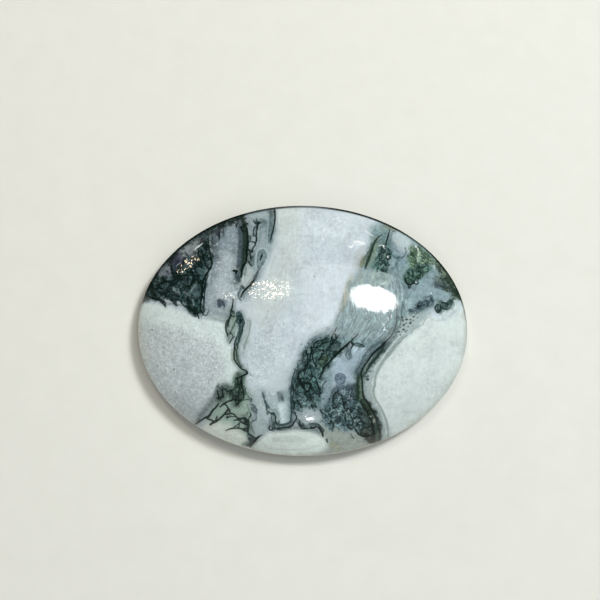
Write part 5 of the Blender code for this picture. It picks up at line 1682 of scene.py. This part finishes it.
class Graph:
    """Short calls that add shader nodes and return the socket to link on."""

    def __init__(self, material):
        material.use_nodes = True
        self.tree = material.node_tree
        self.shader = self.tree.nodes["Principled BSDF"]

    def node(self, kind, inputs=(), **settings):
        node = self.tree.nodes.new(kind)
        for name, value in settings.items():
            setattr(node, name, value)
        for key, value in dict(inputs).items():
            self.feed(node.inputs[key], value)
        return node

    def feed(self, socket, value):
        if isinstance(value, bpy.types.NodeSocket):
            self.tree.links.new(value, socket)
        else:
            socket.default_value = value

    def math(self, operation, a, b=0.0):
        return self.node("ShaderNodeMath", {0: a, 1: b}, operation=operation).outputs[0]

    def vector(self, operation, a, b=(0.0, 0.0, 0.0)):
        return self.node("ShaderNodeVectorMath", {0: a, 1: b}, operation=operation).outputs["Vector"]

    def scaled(self, vector, factor):
        node = self.node("ShaderNodeVectorMath", {"Vector": vector, "Scale": factor}, operation="SCALE")
        return node.outputs["Vector"]

    def length(self, vector):
        return self.node("ShaderNodeVectorMath", {0: vector}, operation="LENGTH").outputs["Value"]

    def split(self, vector):
        return self.node("ShaderNodeSeparateXYZ", {0: vector}).outputs

    def attribute(self, name):
        return self.node("ShaderNodeAttribute", attribute_name=name).outputs

    def noise(self, vector, scale, detail=2.0, roughness=0.5, distortion=0.0, dimensions="3D"):
        values = {
            "Vector": vector, "Scale": scale, "Detail": detail, "Roughness": roughness,
            "Distortion": distortion,
        }
        return self.node("ShaderNodeTexNoise", values, noise_dimensions=dimensions).outputs

    def ramp(self, value, low, high, to_low=0.0, to_high=1.0):
        """Smooth step from low to high."""
        values = {0: value, 1: low, 2: high, 3: to_low, 4: to_high}
        node = self.node("ShaderNodeMapRange", values, interpolation_type="SMOOTHSTEP")
        return node.outputs[0]

    def mix(self, share, a, b, blend="MIX"):
        node = self.node("ShaderNodeMix", data_type="RGBA", blend_type=blend)
        self.feed(node.inputs[0], share)
        self.feed(node.inputs[6], a)
        self.feed(node.inputs[7], b)
        return node.outputs[2]


def opaque(colour):
    return (*colour, 1.0)


# How far the facets of the frosted patches tilt, and the combed marks under the highlight
FACET_TILT = 0.16
COMB_TILT = 0.08

# How soft the edges of each layer's lines are, in pixels
WASH_SOFTNESS = 0.9
LINE_SOFTNESS = (("hair", 0.4), ("thread", 0.28), ("pencil", 0.4), ("ink", 0.3))


def centred_noise(graph, position, scale, detail, amount):
    """A vector of noise around zero."""
    noise = graph.noise(position, scale, detail)["Color"]
    return graph.scaled(graph.vector("SUBTRACT", noise, (0.5, 0.5, 0.5)), amount)


def line_cover(graph, name, softness, wobble):
    """How much a layer of drawn lines covers each point."""
    offset = graph.attribute(name + "_offset")["Vector"]
    shape = graph.split(graph.attribute(name + "_shape")["Vector"])
    flat = graph.vector("MULTIPLY", offset, (1.0, 1.0, 0.0))
    moved = graph.vector("ADD", flat, graph.vector("MULTIPLY", wobble, (1.0, 1.0, 0.0)))
    apart = graph.split(offset)[2]
    distance = graph.math("MAXIMUM", graph.length(moved), graph.math("SUBTRACT", apart, shape[2]))
    past = graph.math("SUBTRACT", distance, shape[0])
    cover = graph.ramp(past, -softness, softness, 1.0, 0.0)
    return graph.math("MULTIPLY", cover, shape[1])


def add_lines(graph, colour, name, softness, wobble):
    """A layer of drawn lines over the colour."""
    cover = line_cover(graph, name, softness, wobble)
    return graph.mix(cover, colour, graph.attribute(name + "_colour")["Color"])


def agate_material():
    material = bpy.data.materials.new("polished_moss_agate")
    graph = Graph(material)
    position = graph.scaled(graph.node("ShaderNodeTexCoord").outputs["Object"], 1000.0)
    place = graph.attribute("place")["Vector"]
    texture = graph.split(graph.attribute("texture")["Vector"])
    rim = graph.split(graph.attribute("rim")["Vector"])
    colour = graph.attribute("body")["Color"]

    colour = add_clouds(graph, position, colour)
    colour = add_bands(graph, place, colour)
    colour = add_veinlets(graph, place, colour)
    colour = add_grain(graph, position, colour, texture[0])
    colour = add_streaks(graph, colour, texture[1])
    colour = add_moss(graph, place, colour)
    wobble = centred_noise(graph, position, 3.5, 3.0, 1.4)
    colour = add_lines(graph, colour, "wash", WASH_SOFTNESS, wobble)
    colour = add_mottle(graph, position, colour)
    for name, softness in LINE_SOFTNESS:
        colour = add_lines(graph, colour, name, softness, wobble)
    # Painted light on the lit lower girdle, then painted shade along the upper rim and at the foot
    colour = graph.mix(rim[1], colour, opaque(PAINTED_RIM_LIGHT))
    colour = graph.mix(rim[0], colour, opaque(RIM_SHADE))

    shader = graph.shader
    graph.feed(shader.inputs["Base Color"], colour)
    shader.inputs["Metallic"].default_value = 0.0
    shader.inputs["IOR"].default_value = 1.535
    shader.inputs["Subsurface Weight"].default_value = 0.05
    shader.inputs["Subsurface Radius"].default_value = (1.0, 1.0, 1.0)
    shader.inputs["Subsurface Scale"].default_value = 0.0005
    shader.inputs["Subsurface Anisotropy"].default_value = 0.4
    polish = graph.ramp(graph.noise(position, 2.0, 4.0)["Fac"], 0.35, 0.75, 0.04, 0.08)
    # Where the rim carries painted shade or painted light, its polish is also rougher
    ground = graph.math("MAXIMUM", rim[0], rim[1])
    graph.feed(shader.inputs["Roughness"], graph.math("ADD", polish, graph.math("MULTIPLY", ground, 0.5)))
    gloss = graph.math("SUBTRACT", 0.5, graph.math("MULTIPLY", rim[2], 0.5))
    graph.feed(shader.inputs["Specular IOR Level"], gloss)
    brushed = graph.split(graph.attribute("flow")["Vector"])[2]
    add_surface(graph, position, place, texture[2], brushed)
    return material


def add_clouds(graph, position, colour):
    """Faint milky clouds, a few millimetres across."""
    noise = graph.noise(position, 0.35, 4.0, 0.55)["Fac"]
    colour = toned(graph, colour, 1.0, graph.ramp(noise, 0.3, 0.7, 0.93, 1.05))
    lumps = graph.noise(position, 1.6, 4.0, 0.7)["Fac"]
    return toned(graph, colour, 1.0, graph.ramp(lumps, 0.3, 0.7, 0.955, 1.035))


def add_mottle(graph, position, colour):
    """Small uneven patches of light and dark, strong where the stone is dark and faint where it is milky."""
    level = graph.node("ShaderNodeRGBToBW", {0: colour}).outputs[0]
    share = graph.ramp(level, 0.10, 0.55, 1.0, 0.12)
    mottle = graph.noise(position, 2.8, 4.0, 0.75)["Fac"]
    return toned(graph, colour, share, graph.ramp(mottle, 0.3, 0.7, 0.62, 1.4))


def add_veinlets(graph, place, colour):
    """Hair-thin grey veinlets, in patches all over the milky ground."""
    level = graph.noise(place, 0.16, 2.5, 0.55, 0.8, "2D")["Fac"]
    contour = graph.math("ABSOLUTE", graph.math("SUBTRACT", level, 0.5))
    thread = graph.ramp(contour, 0.02, 0.08, 1.0, 0.0)
    patchy = graph.ramp(graph.noise(place, 0.05, 2.0, dimensions="2D")["Fac"], 0.45, 0.6)
    return toned(graph, colour, graph.math("MULTIPLY", thread, patchy), 0.88)


def toned(graph, colour, share, level):
    """The colour, made darker or lighter by a level where the share says so."""
    grey = graph.node("ShaderNodeCombineColor", {0: level, 1: level, 2: level}).outputs[0]
    return graph.mix(share, colour, graph.mix(1.0, colour, grey, "MULTIPLY"))


def add_bands(graph, place, colour):
    """Faint bands that follow the outlines of the veins, as in any agate."""
    apart = graph.split(graph.attribute("ink_offset")["Vector"])[2]
    bend = graph.noise(place, 0.12, 2.0, dimensions="2D")["Fac"]
    phase = graph.math("ADD", graph.math("MULTIPLY", apart, 2.4), graph.math("MULTIPLY", bend, 7.0))
    level = graph.math("ADD", graph.math("MULTIPLY", graph.math("SINE", phase), 0.10), 1.03)
    patchy = graph.ramp(graph.noise(place, 0.07, 2.0, dimensions="2D")["Fac"], 0.35, 0.6)
    share = graph.math("MULTIPLY", graph.ramp(apart, 3.5, 7.5, 1.0, 0.0), patchy)
    slack = graph.split(graph.attribute("ink_shape")["Vector"])[2]
    share = graph.math("MULTIPLY", share, graph.ramp(slack, SPECK_SLACK, SPECK_SLACK + 0.05))
    return toned(graph, colour, share, level)


def add_grain(graph, position, colour, grain):
    """The sugary grain of coarse quartz, with bright flecks."""
    share = graph.math("ADD", graph.math("MULTIPLY", grain, 0.92), 0.08)
    coarse = graph.noise(position, 3.0, 2.0, 0.6)["Fac"]
    colour = toned(graph, colour, share, graph.ramp(coarse, 0.3, 0.7, 0.87, 1.09))
    fine = graph.noise(position, 7.0, 2.0, 0.7)["Fac"]
    colour = toned(graph, colour, share, graph.ramp(fine, 0.32, 0.68, 0.83, 1.12))
    flecks = graph.ramp(graph.noise(position, 6.0, 2.0, 0.5)["Fac"], 0.62, 0.70)
    cover = graph.math("MULTIPLY", flecks, graph.math("MULTIPLY", grain, 0.5))
    return graph.mix(cover, colour, opaque(GLINT_AND_FLECK_WHITE))


def add_streaks(graph, colour, streak):
    """Fine bands along the flow of the agate."""
    flow = graph.attribute("flow")["Vector"]
    stretched = graph.vector("MULTIPLY", flow, (3.2, 0.55, 0.0))
    noise = graph.noise(stretched, 1.0, 4.0, 0.65, 0.6)["Fac"]
    hairs = graph.noise(graph.vector("MULTIPLY", flow, (8.0, 0.8, 0.0)), 1.0, 3.0, 0.7, 1.0)["Fac"]
    colour = toned(graph, colour, streak, graph.ramp(hairs, 0.3, 0.7, 0.66, 1.32))
    return toned(graph, colour, streak, graph.ramp(noise, 0.3, 0.7, 0.62, 1.32))


def moss_net(graph, place, size, width, fill):
    """A net of curling threads in the plane of the photograph: cell walls and the contours of a noise."""
    shake = graph.noise(place, 0.7 / size, 2.0, dimensions="2D")["Color"]
    moved = graph.vector("ADD", place, graph.scaled(graph.vector("SUBTRACT", shake, (0.5, 0.5, 0.5)), size))
    cells = graph.node("ShaderNodeTexVoronoi", {"Vector": moved, "Scale": 1.0 / size},
                       voronoi_dimensions="2D", feature="DISTANCE_TO_EDGE").outputs["Distance"]
    walls = graph.math("DIVIDE", graph.math("MULTIPLY", cells, size), width)
    level = graph.noise(place, 1.3 / size, 1.5, 0.5, 0.6, "2D")["Fac"]
    contour = graph.math("ABSOLUTE", graph.math("SUBTRACT", level, 0.5))
    curls = graph.math("DIVIDE", graph.math("MULTIPLY", contour, size * 3.0), width)
    thread = graph.ramp(graph.math("MINIMUM", walls, curls), 0.5, 1.2, 1.0, 0.0)
    patchy = graph.noise(place, 0.45 / size, 2.0, dimensions="2D")["Fac"]
    return graph.math("MULTIPLY", thread, graph.ramp(patchy, fill - 0.1, fill + 0.1))


def add_moss(graph, place, colour):
    """Deep blurred threads, dark clumps, crisp threads and pale flecks inside the moss patches."""
    field = graph.split(graph.attribute("moss")["Vector"])
    depth, net, fade = field[0], field[1], field[2]
    dark = graph.attribute("moss_colour")["Color"]
    ragged = graph.noise(place, 0.3, 3.0, 0.7, dimensions="2D")["Fac"]
    shift = graph.math("MULTIPLY", graph.math("SUBTRACT", ragged, 0.5), graph.math("ADD", fade, 1.8))
    inner = graph.math("ADD", depth, graph.math("MULTIPLY", shift, 2.2))
    within = graph.node("ShaderNodeMapRange", {
        0: inner, 1: graph.math("MULTIPLY", fade, -1.0), 2: 1.4, 3: 0.0, 4: 1.0,
    }, interpolation_type="SMOOTHSTEP").outputs[0]
    strength = graph.math("MULTIPLY", within, net)

    tone = graph.noise(place, 0.13, 3.0, 0.65, dimensions="2D")["Fac"]
    colour = toned(graph, colour, within, graph.ramp(tone, 0.32, 0.68, 0.65, 1.5))
    layers = [
        # Offset, size of the meshes, width of the threads, how much is bare, strength
        ((37.0, 91.0, 0.0), 5.4, 0.7, 0.48, 0.5),
        ((0.0, 0.0, 0.0), 3.1, 0.42, 0.45, 0.85),
        ((71.0, 13.0, 0.0), 2.0, 0.34, 0.44, 0.9),
    ]
    for offset, size, width, bare, share in layers:
        threads = moss_net(graph, graph.vector("ADD", place, offset), size, width, bare)
        cover = graph.math("MULTIPLY", graph.math("MULTIPLY", threads, strength), share)
        colour = graph.mix(cover, colour, dark)
    clumps = graph.ramp(graph.noise(place, 0.2, 4.0, 0.65, dimensions="2D")["Fac"], 0.58, 0.66)
    colour = graph.mix(graph.math("MULTIPLY", graph.math("MULTIPLY", clumps, strength), 0.6), colour, dark)
    flecks = graph.ramp(graph.noise(place, 0.42, 3.0, 0.65, dimensions="2D")["Fac"], 0.58, 0.66)
    return toned(graph, colour, graph.math("MULTIPLY", flecks, within), 1.7)


def add_surface(graph, position, place, frost, brushed):
    """The polish: fine wheel marks, a faint ripple and tiny pits everywhere, frosted and combed patches."""
    stretched = graph.vector("MULTIPLY", position, (5.0, 1.3, 2.0))
    marks = graph.noise(stretched, 1.0, 3.0, 0.6)["Fac"]
    peel = graph.noise(position, 1.8, 3.0, 0.6)["Fac"]
    pits = graph.ramp(graph.noise(position, 6.0, 2.0, 0.6)["Fac"], 0.2, 0.34)
    height = graph.math("ADD", graph.math("MULTIPLY", marks, 0.22), graph.math("MULTIPLY", peel, 0.3))
    height = graph.math("ADD", height, graph.math("MULTIPLY", pits, 0.5))
    bump = graph.node("ShaderNodeBump", {"Strength": 1.0, "Distance": 0.00001, "Height": height})

    facets = graph.node("ShaderNodeTexVoronoi", {"Vector": position, "Scale": 10.5}).outputs["Color"]
    tilts = graph.scaled(graph.vector("SUBTRACT", facets, (0.5, 0.5, 0.5)), FACET_TILT)
    tilt = graph.scaled(tilts, frost)

    combed = graph.vector("MULTIPLY", place, (0.6, 0.05, 1.0))
    comb = graph.math("SUBTRACT", graph.noise(combed, 1.0, 3.0, 0.7, dimensions="2D")["Fac"], 0.5)
    combing = graph.math("MULTIPLY", comb, graph.math("MULTIPLY", brushed, COMB_TILT))
    sideways = graph.node("ShaderNodeCombineXYZ", {1: combing}).outputs[0]
    turned = graph.vector("ADD", graph.vector("ADD", bump.outputs["Normal"], tilt), sideways)
    graph.feed(graph.shader.inputs["Normal"], graph.vector("NORMALIZE", turned))


def make_stone():
    mesh = stone_mesh()
    mesh.materials.append(agate_material())
    stone = bpy.data.objects.new("moss_agate_stone", mesh)
    bpy.context.scene.collection.objects.link(stone)
    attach(stone, "root")
    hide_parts("cabochon")


# Floor, lights and camera

# Half the floor's side, and how far it lies below the stone's back, so that the two don't coincide
FLOOR_REACH = 0.5
FLOOR_GAP = 0.00002


def make_floor():
    side = FLOOR_REACH
    corners = [(-side, -side, 0.0), (side, -side, 0.0), (side, side, 0.0), (-side, side, 0.0)]
    mesh = bpy.data.meshes.new("floor")
    mesh.from_pydata(corners, [], [(0, 1, 2, 3)])
    floor = bpy.data.objects.new("floor", mesh)
    floor.location.z = -FLOOR_GAP
    bpy.context.scene.collection.objects.link(floor)
    material = bpy.data.materials.new("pale_floor")
    graph = Graph(material)
    position = graph.node("ShaderNodeTexCoord").outputs["Object"]
    tone = graph.noise(position, 400.0, 4.0, 0.6)["Fac"]
    colour = graph.mix(tone, opaque(srgb(223, 225, 217)), opaque(srgb(231, 233, 226)))
    graph.feed(graph.shader.inputs["Base Color"], colour)
    graph.shader.inputs["Roughness"].default_value = 0.8
    mesh.materials.append(material)


ORANGE = (1.0, 0.78, 0.54)
CREAM = (1.0, 0.85, 0.64)
WHITE = (1.0, 1.0, 1.0)
LAMPS = [
    # Name, pixel where the dome mirrors it, width, height, power, colour
    ("key_lamp_left", (369, 297.2), 0.080, 0.086, 0.36, WHITE),
    ("key_lamp_right", (380.5, 299.4), 0.084, 0.084, 0.37, WHITE),
    ("warm_lamp", (266.5, 290), 0.060, 0.032, 0.13, CREAM),
    ("corner_lamp", (188.6, 261.6), 0.024, 0.016, 0.085, ORANGE),
    ("foot_spot", (310.3, 418.8), 0.011, 0.008, 0.035, WHITE),
]

# The large dim panel that shows as a pale veil around the key lamps
SOFT_PANEL = ("soft_panel", (355, 299.7), 0.226, 0.266, 0.33, WHITE)
PANEL_DISTANCE = 0.36

# Lights the stone, and isn't mirrored in its polish
FILL_LAMP = ("fill_lamp", (301, 392), 0.25, 0.25, 0.20, WHITE)

# How often and how boldly the search for a point on the dome steps, and the step for its slopes
DOME_SEARCHES = 40
DOME_STRIDE = 0.7
SLOPE_STEP = 0.00001


def dome_slope(x, y, step_x, step_y):
    """The rise of the dome at a point for each metre along a small step."""
    rise = float(dome_height(x + step_x, y + step_y) - dome_height(x - step_x, y - step_y))
    return rise / (2 * SLOPE_STEP)


def dome_point(pixel):
    """Where the ray through a pixel of the photograph meets the dome, the ray, and the normal there."""
    position, right, up, forward = camera_axes()
    across = (pixel[0] - PHOTO_SIZE / 2) / FOCAL_PIXELS
    down = (pixel[1] - PHOTO_SIZE / 2) / FOCAL_PIXELS
    ray = forward + right * across - up * down
    ray.normalize()
    distance = (TOP - position.z) / ray.z
    for _ in range(DOME_SEARCHES):
        point = position + ray * distance
        distance += (float(dome_height(point.x, point.y)) - point.z) / ray.z * DOME_STRIDE
    slope_x = dome_slope(point.x, point.y, SLOPE_STEP, 0.0)
    slope_y = dome_slope(point.x, point.y, 0.0, SLOPE_STEP)
    return point, ray, Vector((-slope_x, -slope_y, 1.0)).normalized()


def make_lamp(name, pixel, width, height, power, colour, shape="ELLIPSE", distance=0.35):
    """An area lamp that stands where the dome mirrors it at a pixel, its width level with the frame."""
    point, ray, normal = dome_point(pixel)
    mirrored = (ray - 2.0 * ray.dot(normal) * normal).normalized()
    right = camera_axes()[1]
    across = (right - right.dot(mirrored) * mirrored).normalized()
    light = bpy.data.lights.new(name, "AREA")
    light.shape = shape
    light.size = width
    light.size_y = height
    light.energy = power
    light.color = colour
    lamp = bpy.data.objects.new(name, light)
    lamp.location = point + mirrored * distance
    lamp.rotation_euler = Matrix((across, mirrored.cross(across), mirrored)).transposed().to_euler()
    bpy.context.scene.collection.objects.link(lamp)
    return lamp


def make_world():
    """A studio that is dark overhead, pale towards the horizon and palest in front."""
    world = bpy.data.worlds.new("studio")
    world.use_nodes = True
    nodes, links = world.node_tree.nodes, world.node_tree.links
    background = nodes["Background"]
    background.inputs["Color"].default_value = opaque(srgb(250, 252, 255))
    direction = nodes.new("ShaderNodeTexCoord")
    split = nodes.new("ShaderNodeSeparateXYZ")
    level = nodes.new("ShaderNodeMapRange")
    level.inputs["To Min"].default_value = HORIZON_LIGHT
    level.inputs["To Max"].default_value = OVERHEAD_LIGHT
    lean = nodes.new("ShaderNodeMath")
    lean.operation = "MULTIPLY_ADD"
    lean.inputs[1].default_value = -FRONT_LIGHT
    lean.use_clamp = True
    links.new(direction.outputs["Generated"], split.inputs[0])
    links.new(split.outputs["Z"], level.inputs["Value"])
    links.new(split.outputs["Y"], lean.inputs[0])
    links.new(level.outputs["Result"], lean.inputs[2])
    links.new(lean.outputs[0], background.inputs["Strength"])
    bpy.context.scene.world = world
    bpy.context.scene.view_settings.view_transform = "Standard"


def make_camera():
    position, right, up, forward = camera_axes()
    data = bpy.data.cameras.new("camera")
    data.lens = LENS
    data.sensor_width = SENSOR
    data.clip_start = 0.01
    camera = bpy.data.objects.new("camera", data)
    camera.location = position
    camera.rotation_euler = Matrix((right, up, -forward)).transposed().to_euler()
    bpy.context.scene.collection.objects.link(camera)
    bpy.context.scene.camera = camera


def main():
    make_stone()
    make_floor()
    make_world()
    for lamp in LAMPS:
        make_lamp(*lamp)
    make_lamp(*SOFT_PANEL, shape="RECTANGLE", distance=PANEL_DISTANCE)
    make_lamp(*FILL_LAMP).visible_glossy = False
    make_camera()


main()
